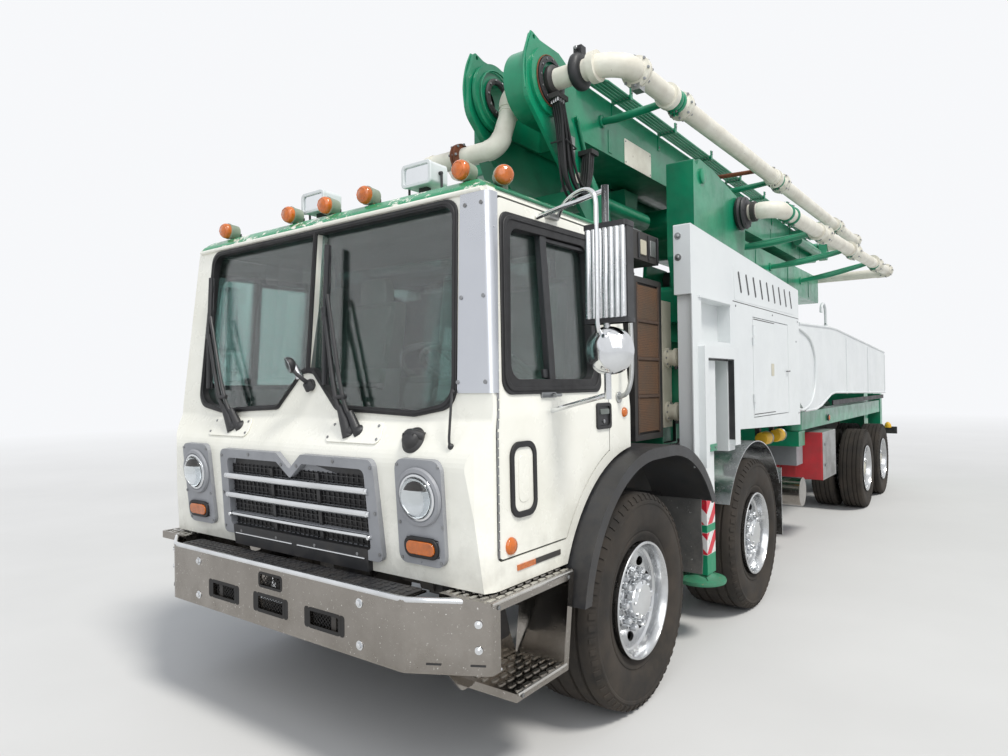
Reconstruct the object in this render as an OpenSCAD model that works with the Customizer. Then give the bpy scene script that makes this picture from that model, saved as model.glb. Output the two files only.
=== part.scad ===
/* [Chassis] */
// Length over the bumper and the rear lamp frame
overall_l = 11800; // [11700:10:12100]
// Bumper face to the first axle
front_overhang = 1390; // [1370:5:1420]
// First axle to second axle
axle_12 = 1950; // [1930:5:1990]
// Second axle to third axle
axle_23 = 5000; // [4980:5:5060]
// Third axle to fourth axle
axle_34 = 1370; // [1350:5:1400]
// Width over the frame rails
frame_w = 864; // [840:2:880]
// Height of a frame rail
rail_h = 280; // [260:5:290]
// Underside of the frame rails above the ground
rail_z = 760; // [750:1:770]
// Flange width of a frame rail
rail_flange = 90; // [70:1:95]
// Plate thickness of a frame rail
rail_t = 10; // [6:1:14]

/* [Wheels] */
// Radius of a front tyre
front_r = 555; // [545:1:560]
// Width of a front tyre
front_w = 420; // [400:5:430]
// Outer face of a front tyre from the centre line
front_face = 1250; // [1245:1:1260]
// Radius of a rear tyre
rear_r = 520; // [510:1:526]
// Width of a rear tyre
rear_w = 275; // [260:1:285]
// Gap between twin tyres
twin_gap = 60; // [50:1:70]
// Outer face of a rear tyre from the centre line
rear_face = 1220; // [1215:1:1230]
// Radius of the bead seat
seat_r = 286; // [280:1:290]
// Kingpin from the centre line
kingpin_y = 930; // [925:1:935]
// Spindle radius
spindle_r = 45; // [38:1:50]

/* [Cab] */
// Half width of the cab
cab_y = 1170; // [1150:1:1180]
// Half width at the roof edge
roof_y = 1095; // [1080:1:1110]
// Top of the roof edge
roof_z = 2545; // [2530:1:2560]
// Underside of the cab skirt
skirt_z = 870; // [860:1:890]
// Wall thickness of the cab and its doors
cab_t = 60; // [50:1:70]
// Gap round a door
door_gap = 8; // [6:1:12]
// Thickness of a window pane
glass_t = 6; // [5:1:10]
// Radius of the wheel arch
arch_r = 800; // [795:1:820]
// Outer edge of the fender from the centre line
fender_y = 1280; // [1270:1:1290]
// Outer radius of the fender
fender_r = 785; // [770:1:790]

/* [Outriggers] */
// Front outrigger behind the first axle
outrig_x = 1100; // [1090:1:1110]
// Width of a front outrigger beam
beam_w = 200; // [180:2:210]
// Height of a front outrigger beam
beam_h = 230; // [200:2:236]
// Side of a square jack leg
leg_w = 150; // [130:2:160]
// Radius of a jack foot
foot_r = 160; // [140:1:165]
// Underside of the front jack feet
foot_z = 380; // [360:1:400]
// Rear outrigger pivot behind the first axle
swing_x = 4000; // [3980:1:4020]
// Rear outrigger pivot from the centre line
swing_y = 1000; // [990:1:1010]
// Length of a rear outrigger arm between pivot and leg
swing_l = 5100; // [5080:1:5130]
// Height of a rear outrigger arm
swing_h = 180; // [150:1:184]

/* [Boom] */
// Slewing centre behind the first axle
slew_x = 2600; // [2580:1:2620]
// Top of the slewing ring
slew_z = 2100; // [2080:1:2120]
// Height of the first boom pivot
pivot_a_z = 3250; // [3240:1:3255]
// First boom pivot behind the slewing centre
pivot_a_back = 500; // [490:1:510]
// Length of boom section A between pivots
len_a = 5950; // [5930:1:5960]
// Length of boom section B between pivots
len_b = 8450; // [8440:1:8470]
// Length of boom section C between pivots
len_c = 8160; // [8150:1:8180]
// Length of boom section D from its pivot to its tip
len_d = 7300; // [7200:10:7400]
// Height of the pivot between A and B
pivot_b_z = 3400; // [3396:1:3404]
// Height of the pivot between B and C
pivot_c_z = 3740; // [3730:1:3750]
// Height of the pivot between C and D
pivot_d_z = 3870; // [3866:1:3874]
// Outer radius of a delivery pipe
pipe_r = 70; // [62:1:72]
// Thickness of a fork plate
fork_t = 28; // [20:1:30]

/* [Hidden] */

// colours
cream = [0.92, 0.92, 0.88];
white = [0.88, 0.89, 0.90];
green = [0.02, 0.53, 0.38];
steel = [0.62, 0.63, 0.64];
dark = [0.12, 0.12, 0.13];
red = [0.78, 0.16, 0.20];
amber = [0.95, 0.48, 0.05];
clear_glass = [0.35, 0.45, 0.48, 0.4];

// gap of a turning fit, of a seat and between moving pieces
fit = 0.3;
seat = 0.3;
run_gap = 6;

// places along the machine, counted from the middle of its length
nose_x = overall_l / 2;
axle_1 = nose_x - front_overhang;
axle_2 = axle_1 - axle_12;
axle_3 = axle_2 - axle_23;
axle_4 = axle_3 - axle_34;
tail_x = -overall_l / 2;
slew = axle_1 - slew_x;
rail_top = rail_z + rail_h;
rail_y = frame_w / 2;

// boom pivots at rest
pivot_a = [slew - pivot_a_back, pivot_a_z];
pivot_b = [pivot_a[0] - len_a, pivot_b_z];
pivot_c = [pivot_b[0] + len_b, pivot_c_z];
pivot_d = [pivot_c[0] - len_c, pivot_d_z];
tip_d = pivot_d[0] + len_d;

// lanes across the boom, each [right, left]
lane_a = [-200, 260];
lane_b = [-540, -215];
lane_c = [-160, 270];
lane_d = [-1130, -860];

function unit(v) = v / norm(v);

// points of the arc that rounds corner p between its neighbours a and b
function arc_at(a, p, b, r, n) =
    let (
        u = unit(a - p),
        v = unit(b - p),
        half = acos(max(-1, min(1, u * v))) / 2,
        run = r / tan(half),
        c = p + unit(u + v) * r / sin(half),
        s = p + u * run - c,
        e = p + v * run - c,
        from = atan2(s[1], s[0]),
        sweep = ((atan2(e[1], e[0]) - from + 540) % 360) - 180
    )
    [for (i = [0:n]) c + r * [cos(from + sweep * i / n), sin(from + sweep * i / n)]];

// outline from rows of [x, y, corner radius]
function rounded(rows, n = 5) = [
    for (i = [0:len(rows) - 1])
        let (
            a = rows[(i + len(rows) - 1) % len(rows)],
            p = rows[i],
            b = rows[(i + 1) % len(rows)]
        )
        each p[2] > 0
            ? arc_at([a[0], a[1]], [p[0], p[1]], [b[0], b[1]], p[2], n)
            : [[p[0], p[1]]]
];

// plate with its outline in X and Z, between two places across the machine
module plate_y(rows, y0, y1, n = 5) {
    translate([0, max(y0, y1), 0])
        rotate([90, 0, 0])
            linear_extrude(abs(y1 - y0))
                polygon(rounded(rows, n));
}

// plate with its outline in Y and Z, between two places along the machine
module plate_x(rows, x0, x1, n = 5) {
    translate([min(x0, x1), 0, 0])
        rotate([90, 0, 90])
            linear_extrude(abs(x1 - x0))
                polygon(rounded(rows, n));
}

// plate with its outline in X and Y
module plate_z(rows, z0, z1, n = 5) {
    translate([0, 0, z0])
        linear_extrude(z1 - z0)
            polygon(rounded(rows, n));
}

module cyl_y(r, y0, y1, x, z, fn = 48) {
    translate([x, max(y0, y1), z])
        rotate([90, 0, 0])
            cylinder(r = r, h = abs(y1 - y0), $fn = fn);
}

module cyl_x(r, x0, x1, y, z, fn = 48) {
    translate([min(x0, x1), y, z])
        rotate([0, 90, 0])
            cylinder(r = r, h = abs(x1 - x0), $fn = fn);
}

module cyl_z(r, z0, z1, x, y, fn = 48) {
    translate([x, y, z0])
        cylinder(r = r, h = z1 - z0, $fn = fn);
}

// round bar between two points
module bar(p, q, r, fn = 24) {
    d = q - p;
    translate(p)
        rotate([0, acos(d[2] / norm(d)), atan2(d[1], d[0])])
            cylinder(r = r, h = norm(d), $fn = fn);
}

module box(x0, x1, y0, y1, z0, z1) {
    translate([min(x0, x1), min(y0, y1), z0])
        cube([abs(x1 - x0), abs(y1 - y0), z1 - z0]);
}

module pair() {
    children();
    mirror([0, 1, 0]) children();
}

module flip(side) {
    if (side > 0) children();
    else mirror([0, 1, 0]) children();
}

function turn_at(points, i) = acos(unit(points[i] - points[i - 1]) * unit(points[i + 1] - points[i]));

// length of straight tube that the bend at point i takes up on each side
function bend_run(points, i, bend) =
    i <= 0 || i >= len(points) - 1 ? 0 : bend * tan(turn_at(points, i) / 2);

// bent tube run through points, each bend a part of a thicker ring of radius bend
elbow_t = 6;
elbow_lap = 10;

module tube_run(points, r, bend = 160) {
    for (i = [0:len(points) - 2]) {
        along = unit(points[i + 1] - points[i]);
        bar(points[i] + along * (bend_run(points, i, bend) - (i > 0 ? elbow_lap : 0)),
            points[i + 1] - along * (bend_run(points, i + 1, bend) - (i < len(points) - 2 ? elbow_lap : 0)),
            r, 32);
    }
    for (i = [1:1:len(points) - 2]) {
        before = unit(points[i] - points[i - 1]);
        after = unit(points[i + 1] - points[i]);
        inward = unit(after - before * (after * before));
        start = points[i] - before * bend_run(points, i, bend);
        c = start + inward * bend;
        up = cross(-inward, before);
        multmatrix([
            [-inward[0], before[0], up[0], c[0]],
            [-inward[1], before[1], up[1], c[1]],
            [-inward[2], before[2], up[2], c[2]],
            [0, 0, 0, 1]
        ])
            rotate_extrude(angle = turn_at(points, i), $fn = 64)
                translate([bend, 0]) circle(r = r + elbow_t, $fn = 32);
    }
}

// frame rails with crossmembers
cross_places = [1060, -1420, -2950, -4700, -6050, -7640, -9060];
rail_front = 1150;
rail_back = -9200;
cross_l = 90;
cross_z = rail_z + 120;

module rail() {
    difference() {
        box(axle_1 + rail_back, axle_1 + rail_front, rail_y - rail_flange, rail_y, rail_z, rail_top);
        box(axle_1 + rail_back - 1, axle_1 + rail_front + 1, rail_y - rail_flange - 1, rail_y - rail_t,
            rail_z + rail_t, rail_top - rail_t);
    }
}

module chassis() color(dark) {
    pair() rail();
    for (x = cross_places)
        box(axle_1 + x, axle_1 + x + cross_l, -rail_y + rail_t, rail_y - rail_t, cross_z,
            rail_top - rail_t);
    // brackets that carry the bumper
    pair() plate_y([
        [axle_1 + 1100, rail_z + 20, 0], [axle_1 + 1240, 600, 30], [nose_x - bumper_t - seat, 600, 0],
        [nose_x - bumper_t - seat, 820, 0], [axle_1 + 1135, 820, 20], [axle_1 + 1080, rail_top - 20, 0]
    ], rail_y - rail_t, rail_y + 20);
    // brackets that carry the cab
    pair() box(axle_1 + 1010, axle_1 + 1100, rail_y, 700, rail_top - 110, rail_top - 20);
    pair() box(axle_1 + 1010, axle_1 + 1100, 600, 700, rail_top - 111, floor_low - cab_t - seat);
}

// leaf spring bundle as an arc of plates, middle at x
spring_half = 720;
spring_rise = 150;
spring_y = 435;
spring_w = 90;

module spring(x, z, thick, half = spring_half, rise = spring_rise) {
    big = (half * half + rise * rise) / (2 * rise);
    translate([x, spring_y + spring_w / 2, z + big])
        rotate([90, 0, 0])
            linear_extrude(spring_w)
                intersection() {
                    difference() {
                        circle(r = big, $fn = 160);
                        circle(r = big - thick, $fn = 160);
                    }
                    translate([-half, -big - 1]) square([2 * half, rise + thick]);
                }
}

beam_axle_r = 55;
steer_gap = 1;

module steer_axle(x) {
    z = front_r;
    plate_x([
        [-480, 400, 30], [480, 400, 30], [820, 505, 60], [kingpin_y, 505, 0],
        [kingpin_y, 605, 0], [700, 570, 60], [480, 480, 30], [-480, 480, 30], [-700, 570, 60],
        [-kingpin_y, 605, 0], [-kingpin_y, 505, 0], [-820, 505, 60]
    ], x - 50, x + 50);
    pair() {
        cyl_z(50, 505, 605, x, kingpin_y);
        spring(x, 480, 60);
        box(x - 90, x + 90, spring_y - 60, spring_y + 60, 470, 486);
        for (end = [-1, 1])
            plate_y([
                [x + end * 620, rail_z, 0], [x + end * 760, rail_z, 0], [x + end * 730, 640, 20],
                [x + end * 650, 640, 20]
            ], rail_y - rail_flange, rail_y);
    }
}

module steer_axle_bored(x) {
    difference() {
        steer_axle(x);
        pair() cyl_z(24 + fit, front_r - 200, front_r + 200, x, kingpin_y);
    }
}

module drive_axle(x) {
    z = rear_r;
    cyl_y(62, -rear_hub_in, rear_hub_in, x, z);
    translate([x, 0, z]) sphere(r = 205, $fn = 48);
    cyl_x(90, x, x + 300, 0, z);
    pair() cyl_y(78, 330, 560, x, z);
    pair() box(x - 70, x + 70, spring_y - 60, spring_y + 60, z + 50, z + 95);
}

rear_hub_in = rear_face - 2 * rear_w - twin_gap + 90;

module axles() color(dark) {
    steer_axle_bored(axle_1);
    steer_axle_bored(axle_2);
    drive_axle(axle_3);
    drive_axle(axle_4);
    // walking spring over the two rear axles
    mid = (axle_3 + axle_4) / 2;
    pair() {
        plate_y([
            [axle_3 + 120, rear_r + 95, 0], [axle_3 + 120, rear_r + 165, 30], [mid + 160, rear_r + 200, 40],
            [mid - 160, rear_r + 200, 40], [axle_4 - 120, rear_r + 165, 30], [axle_4 - 120, rear_r + 95, 0]
        ], spring_y - 40, spring_y + 40);
        plate_y([
            [mid + 220, rail_z, 0], [mid + 90, rear_r + 195, 0], [mid - 90, rear_r + 195, 0],
            [mid - 220, rail_z, 0]
        ], rail_y - rail_flange, rail_y);
    }
}

engine_front = 420;
engine_back = -380;
engine_half = 325;
shaft_z = 740;

module powertrain() color(steel) {
    box(axle_1 + engine_back, axle_1 + engine_front, -engine_half, engine_half, 620, 1160);
    plate_y([
        [axle_1 + engine_back, 620, 0], [axle_1 + engine_back, 1000, 0], [axle_1 - 620, 960, 60],
        [axle_1 - 1050, 860, 40], [axle_1 - 1050, 640, 40], [axle_1 - 620, 560, 60]
    ], -210, 210);
    bar([axle_1 - 1040, 0, shaft_z], [axle_3 + 330, 0, rear_r], 46);
    cyl_x(70, axle_3 + 300 + seat, axle_3 + 360, 0, rear_r);
}

// heights of the cab floor above the arch and ahead of it, and the step between
floor_low = 1110;
floor_high = 1430;
floor_step = 600;
// centre of the wheel arch behind the axle
arch_back = 100;

// side outline of the cab, drawn in by t, along the machine from axle 1
function cab_side(t, low) = [
    [1215 - t, low, 0], [1262 - t, 1390, 160], [1176 - t, 1545, 50],
    [1096 - t, roof_z - 20 - t, 40], [1056 - t, roof_z + 20 - t, 60], [500, roof_z + 60 - t, 300],
    [-20 + t, roof_z + 10 - t, 50], [-20 + t, low, 0]
];

// front outline of the cab, drawn in by t
function cab_front(t) = [
    [cab_y - t, skirt_z - 100, 0], [cab_y - t, 1560, 300], [roof_y - t, roof_z - 30 - t, 60],
    [roof_y - 130, roof_z + 45 - t, 100], [0, roof_z + 70 - t, 600], [-roof_y + 130, roof_z + 45 - t, 100],
    [-roof_y + t, roof_z - 30 - t, 60], [-cab_y + t, 1560, 300], [-cab_y + t, skirt_z - 100, 0]
];

// plan outline of the cab, drawn in by t
function cab_plan(t) = [
    [-20 + t, -cab_y - 1 + t, 0], [1262 - t, -cab_y - 1 + t, 130], [1285 - t, -500, 600],
    [1285 - t, 500, 600], [1262 - t, cab_y + 1 - t, 130], [-20 + t, cab_y + 1 - t, 0]
];

module cab_block(t, low = skirt_z) {
    translate([axle_1, 0, 0])
        intersection() {
            plate_y(cab_side(t, low), -cab_y, cab_y);
            plate_x(cab_front(t), -100, 1400);
            plate_z(cab_plan(t), 500, 3000);
        }
}

module arch_cut(r) {
    cyl_y(r, -cab_y - 10, cab_y + 10, axle_1 - arch_back, front_r, 96);
}

// room inside the cab above its floor, stepped over the wheel arch, and the space under the floor
module cab_room() {
    difference() {
        cab_block(cab_t, skirt_z - 50);
        translate([axle_1, 0, 0])
            plate_y([
                [-100, floor_high, 0], [floor_step, floor_high, 0], [floor_step, floor_low, 0],
                [1400, floor_low, 0], [1400, floor_low - cab_t, 0], [floor_step - cab_t, floor_low - cab_t, 0],
                [floor_step - cab_t, floor_high - cab_t, 0], [-100, floor_high - cab_t, 0]
            ], -cab_y, cab_y);
    }
}

// door outline from axle 1, drawn out by g
door_front = 1150;
door_back = 220;
door_low = 990;
door_top = 2475;

function door_rows(g) = [
    [door_front + g, door_low - g, 30], [door_front + g, 1500, 0], [door_front - 102 + g, door_top + g, 40],
    [door_back - g, door_top + g, 40], [door_back - g, door_low + 300, 0], [door_back + 350, door_low - g, 0]
];

module door_form(g, y0, y1) {
    difference() {
        translate([axle_1, 0, 0]) plate_y(door_rows(g), y0, y1);
        arch_cut(arch_r + 60 - g);
    }
}

// window outline of a door
window_rows = [
    [1075, 1680, 60], [1000, 2385, 60], [290, 2400, 60], [320, 1680, 60]
];

module door_window(g, y0, y1) {
    translate([axle_1, 0, 0])
        plate_y([for (p = window_rows) [p[0] + (p[0] > 700 ? g : -g), p[1] + (p[1] > 2000 ? g : -g), 60]],
            y0, y1);
}

// windshield outline across the cab, drawn out by g, for one half
shield_low = 1570;
shield_high = 2470;
shield_y = 925;
divider = 14;

function shield_rows(g) = [
    [divider - g, shield_low + 205 - g, 0], [divider + 30, shield_low + 200 - g, 30],
    [divider + 215, shield_low + 22 - g, 50], [shield_y - 180, shield_low - g, 60],
    [shield_y + 40 + g, shield_low + 40 - g, 90], [shield_y + g, shield_high + g, 70],
    [divider - g, shield_high + g, 0]
];

module shield_cut(g) {
    pair() plate_x(shield_rows(g), axle_1 + 900, axle_1 + 1400);
}

rear_window = [700, 1750, 2350];

module cab_shell() color(cream) {
    difference() {
        cab_block(0);
        arch_cut(arch_r);
        cab_room();
        pair() door_form(door_gap, cab_y - 250, cab_y + 50);
        shield_cut(0);
        box(axle_1 - 100, axle_1 + 60, -rear_window[0], rear_window[0], rear_window[1], rear_window[2]);
        // pockets for the grille and the lamps
        on_nose() {
            plate_x(grille_rows(seat), -nose_sink - seat, 200);
            pair() plate_x(lamp_rows(seat), -nose_sink - seat, 200);
        }
    }
}

module cab_glass() color(clear_glass) {
    // windshield halves follow the slope of the front
    intersection() {
        difference() {
            cab_block(cab_t / 2 - glass_t / 2);
            cab_block(cab_t / 2 + glass_t / 2);
        }
        shield_cut(-seat);
    }
    box(axle_1 + 5, axle_1 + 5 + glass_t, -rear_window[0] + seat, rear_window[0] - seat,
        rear_window[1] + seat, rear_window[2] - seat);
}

seat_y = 620;

module cab_seat(y) {
    x = axle_1 + 420;
    z = floor_high;
    box(x - 230, x + 230, y - 220, y + 220, z + seat, z + 120);
    plate_y([
        [x - 250, z + 120, 0], [x + 250, z + 120, 60], [x + 260, z + 260, 60], [x - 130, z + 240, 30],
        [x - 250, z + 820, 35], [x - 340, z + 800, 35]
    ], y - 240, y + 240);
}

module cab_interior() color(dark) {
    for (side = [-1, 1]) cab_seat(side * seat_y);
    // dashboard across the cab
    plate_y([
        [axle_1 + 850, floor_low + 250, 40], [axle_1 + 1100, floor_low + 250, 0],
        [axle_1 + 1100, 1500, 40], [axle_1 + 980, 1560, 60], [axle_1 + 830, 1500, 60]
    ], -960, 960);
    box(axle_1 + 1000, axle_1 + 1060, -500, 500, floor_low + seat, floor_low + 250);
    // steering column and wheel
    bar([axle_1 + 880, seat_y, 1450], [axle_1 + 700, seat_y, 1760], 22);
    translate([axle_1 + 700, seat_y, 1760])
        rotate([0, -30, 0]) {
            rotate_extrude($fn = 48) translate([215, 0]) circle(r = 15, $fn = 16);
            for (a = [0, 120, 240])
                rotate([0, 0, a]) translate([0, -12, -8]) cube([215, 24, 16]);
        }
}

// plane of the cab's nose: X is out of it, Z runs up along it from the skirt
nose_tilt = atan2(1262 - 1215, 1390 - skirt_z);
nose_sink = 20;
nose_proud = 26;

module on_nose() {
    translate([axle_1 + 1215, 0, skirt_z])
        rotate([0, nose_tilt, 0])
            children();
}

// grille: surround with a notch in its upper edge, mesh and three bars
grille_top = 505;
grille_low = 55;
grille_half = 590;
grille_notch = 75;

function grille_rows(g) = [
    [-grille_half - g, grille_top + g, 40], [-grille_half - 20 - g, grille_low - g, 30],
    [grille_half + 20 + g, grille_low - g, 30], [grille_half + g, grille_top + g, 40],
    [95 - g, grille_top + g, 20], [0, grille_top - grille_notch + g, 15], [-95 + g, grille_top + g, 20]
];

module grille() color(steel) {
    on_nose() {
        difference() {
            plate_x(grille_rows(0), -nose_sink, nose_proud);
            plate_x([
                [-grille_half + 60, grille_top - 45, 30], [-grille_half + 50, grille_low + 45, 20],
                [grille_half - 50, grille_low + 45, 20], [grille_half - 60, grille_top - 45, 30],
                [100, grille_top - 45, 10], [0, grille_top - 45 - grille_notch, 15],
                [-100, grille_top - 45, 10]
            ], -nose_sink + 8, nose_proud + 1);
        }
        for (k = [0:2])
            box(-nose_sink + 7, nose_proud - 8, -grille_half + 45, grille_half - 45,
                grille_low + 92 + k * 102, grille_low + 116 + k * 102);
    }
}

lamp_y = 850;
lamp_z = 365;
signal_z = 155;

function lamp_rows(g) = [
    [lamp_y - 130 - g, 520 + g, 50], [lamp_y - 140 - g, 78 - g, 40], [lamp_y + 120 + g, 78 - g, 50],
    [lamp_y + 130 + g, 520 + g, 50]
];

roof_lamps = [-865, -270, 30, 325, 929];
work_lamps = [575, -190];

module lamps() color(amber) {
    // markers along the roof's front edge, and the two work lamps behind them
    for (y = roof_lamps) {
        cyl_x(36, axle_1 + 1010, axle_1 + 1070, y, roof_z + 66, 32);
        difference() {
            box(axle_1 + 980, axle_1 + 1030, y - 20, y + 20, roof_z - 20, roof_z + 60);
            cab_block(-seat);
        }
    }
    for (y = work_lamps) {
        box(axle_1 + 860, axle_1 + 965, y - 85, y + 85, roof_z + 92, roof_z + 186);
        difference() {
            box(axle_1 + 900, axle_1 + 930, y - 25, y + 25, roof_z, roof_z + 93);
            cab_block(-seat);
        }
    }
    on_nose()
        pair() {
            // headlamp bezel with its round lamp and the signal below
            difference() {
                plate_x(lamp_rows(0), -nose_sink, nose_proud - 6);
                cyl_x(98, -8, 60, lamp_y, lamp_z);
                box(4, 60, lamp_y - 90, lamp_y + 90, signal_z - 38, signal_z + 38);
            }
            cyl_x(88, -9, nose_proud, lamp_y, lamp_z);
            box(3, nose_proud + 2, lamp_y - 84, lamp_y + 84, signal_z - 32, signal_z + 32);
        }
}

bumper_low = 560;
bumper_top = 845;
bumper_t = 14;
bumper_flat = 870;
bumper_half = 1180;
bumper_back = 170;

function bumper_rows(t) = [
    [nose_x - t, -bumper_flat + t * 0.4, 60], [nose_x - t, bumper_flat - t * 0.4, 60],
    [nose_x - bumper_back - t, bumper_half - t, 30], [nose_x - bumper_back - 90, bumper_half - t, 0],
    [nose_x - bumper_back - 90, -bumper_half + t, 0], [nose_x - bumper_back - t, -bumper_half + t, 30]
];

step_front = 1275;
step_back = 665;
step_in = 960;
step_out = 1220;
step_top = 860;
step_low = 430;

module side_step() {
    x0 = axle_1 + step_back;
    x1 = axle_1 + step_front;
    // side plate, upper tread, lower tread
    plate_y([
        [x1, bumper_low + 10, 0], [x1, step_top, 0], [x0, step_top, 20], [x0, step_top - 70, 20],
        [x0 + 240, step_top - 90, 60], [x0 + 110, step_low + 50, 20], [x0 + 110, step_low, 0],
        [x1 - 120, step_low, 40]
    ], step_in, step_in + 12);
    box(x0, x1, step_in, step_out, step_top - 40, step_top);
    box(x0 + 60, x1 - 160, step_in, step_out, step_low, step_low + 35);
    plate_y([
        [x0 + 60, step_low, 0], [x0 + 100, step_low, 0], [x0 + 40, step_top - 20, 0],
        [x0, step_top - 20, 0]
    ], step_in, step_out);
}

module bumper() color(steel) {
    difference() {
        plate_z(bumper_rows(0), bumper_low, bumper_top);
        translate([0, 0, bumper_t]) plate_z(bumper_rows(bumper_t), bumper_low, bumper_top);
        box(nose_x - 700, nose_x - bumper_back - 60, -3000, 3000, bumper_low - 1, bumper_top + 1);
        for (y = [-390, 0, 390]) box(nose_x - 60, nose_x + 10, y - 95, y + 95, 640, 700);
        box(nose_x - 60, nose_x + 10, -80, 80, 755, 805);
    }
    box(nose_x - 150, nose_x - 5, -860, 860, bumper_top - 8, bumper_top);
    pair() side_step();
}

fender_in = 850;
fender_t = 8;
fender_flat = 210;

module fender_outline(r) {
    circle(r = r, $fn = 96);
    translate([-fender_flat, 0]) circle(r = r, $fn = 96);
    translate([-fender_flat, 0]) square([fender_flat, r]);
}

module fender_band(r, t, y0, y1) {
    translate([axle_1 - arch_back, y1, front_r])
        rotate([90, 0, 0])
            linear_extrude(y1 - y0)
                difference() {
                    fender_outline(r);
                    fender_outline(r - t);
                    translate([-2000, -2000]) square([2000, 2375]);
                    translate([0, -2000]) square([2000, 2135]);
                }
}

module fenders() color(dark) {
    pair() {
        fender_band(fender_r, fender_t, fender_in, fender_y);
        fender_band(fender_r, 60, fender_y - fender_t, fender_y);
        // bracket to the frame
        box(axle_1 - 1008, axle_1 - 968, rail_y + seat, fender_in + 60, front_r + 375, front_r + 410);
    }
}

guard_r = 690;
guard_in = 830;

module mudguards() color(steel) {
    pair() {
        // rolled guard over the tyre and the flap behind it
        translate([axle_2, front_face, front_r])
            rotate([90, 0, 0])
                linear_extrude(front_face - guard_in)
                    difference() {
                        circle(r = guard_r, $fn = 96);
                        circle(r = guard_r - 6, $fn = 96);
                        translate([-1000, -1000]) square([2000, 1300]);
                    }
        box(axle_2 - 680, axle_2 - 670, guard_in, front_face, 420, front_r + 420);
        box(axle_2 - 670, axle_2 - 520, guard_in + 100, guard_in + 140, front_r + 380, front_r + 420);
        // bracket from the frame
        box(axle_2 - 30, axle_2 + 30, rail_y + seat, rail_y + 50, 900, 1215);
        box(axle_2 - 30, axle_2 + 30, rail_y + seat, guard_in - seat, 1190, front_r + guard_r - 2);
    }
}

// radiator stack behind the cab
stack_front = -430;
stack_back = -830;

module cooler() color(dark) {
    difference() {
        box(axle_1 + stack_back, axle_1 + stack_front, -1000, 1000, 1340, 2335);
        pair() box(axle_1 + stack_back + 40, axle_1 + stack_front - 40, 985, 1001, 1375, 2300);
    }
    box(axle_1 + stack_back + 30, axle_1 + stack_front + 70, -1000, 1000, 2440, 2615);
    // header tank with its ports
    box(axle_1 + stack_back - 150, axle_1 + stack_back - 10, -1000, 1000, 1400, 2220);
    for (z = [1500, 1850]) {
        pair() cyl_y(38, 990, 1060, axle_1 + stack_back - 80, z, 32);
        box(axle_1 + stack_back - 11, axle_1 + stack_back + 1, -900, 900, z - 30, z + 30);
    }
    pair() box(axle_1 + stack_back + 60, axle_1 + stack_front - 60, 700, 800, 2335, 2440);
    pair() box(axle_1 + stack_back + 60, axle_1 + stack_front - 60, rail_y - 80, rail_y, rail_top, 1340);
}

// guide tubes for the front beams, one above the other
upper_beam_z = 1560;
lower_beam_z = 1290;
guide_t = 12;
guide_half = 930;

module guide(z) {
    x = axle_1 - outrig_x;
    w = beam_w / 2 + run_gap;
    h = beam_h / 2 + run_gap;
    difference() {
        box(x - w - guide_t, x + w + guide_t, -guide_half, guide_half, z - h - guide_t, z + h + guide_t);
        box(x - w, x + w, -guide_half - 1, guide_half + 1, z - h, z + h);
    }
}

function beam_mid(side) = side > 0 ? upper_beam_z + beam_h / 2 : lower_beam_z + beam_h / 2;

pedestal_r = 520;

module pedestal() color(green) {
    x = axle_1 - outrig_x;
    guide(beam_mid(1));
    guide(beam_mid(-1));
    // saddle under the guides and the two longitudinal plates
    pair() plate_y([
        [x + 118, rail_top + seat, 0], [x + 118, lower_beam_z - guide_t - run_gap, 0],
        [x - 118, lower_beam_z - guide_t - run_gap, 0], [x - 118, 1800, 0], [slew + 400, 1900, 60],
        [slew - 500, 1900, 60], [800, 1540, 60], [axle_1 - swing_x - 120, 1500, 0],
        [axle_1 - swing_x - 120, rail_top + seat, 0]
    ], rail_y - 40, rail_y - 10);
    cyl_z(pedestal_r, rail_top + seat, slew_z - 60, slew, 0, 64);
    cyl_z(pedestal_r + 80, slew_z - 60, slew_z, slew, 0, 64);
    // beam that carries the rear swing arms
    sx = axle_1 - swing_x;
    box(sx - 120, sx + 120, -swing_y - 90, swing_y + 90, rail_top + seat, swing_low - run_gap);
    box(sx - 120, sx + 120, -swing_y - 90, swing_y + 90, swing_low + swing_h + run_gap,
        swing_low + swing_h + run_gap + 30);
    pair() box(sx - 120, sx + 120, rail_y - 40, swing_y - 130, swing_low - run_gap - 1,
        swing_low + swing_h + run_gap + 1);
    pair() cyl_z(45, swing_low - run_gap - 1, swing_low + swing_h + run_gap + 1, sx, swing_y);
}

swing_low = 1195;
swing_w = 160;

housing_in = 1110;
housing_out = 1220;
housing_front = -780;
housing_back = -3410;
housing_top_f = 2680;
housing_top_b = 2530;
housing_low = 1290;
guard_proud = 45;
hatch_rows = [[-2020, 1420, 10], [-2020, 2180, 10], [-3020, 2180, 10], [-3020, 1420, 10]];
hatch_t = 30;

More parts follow.
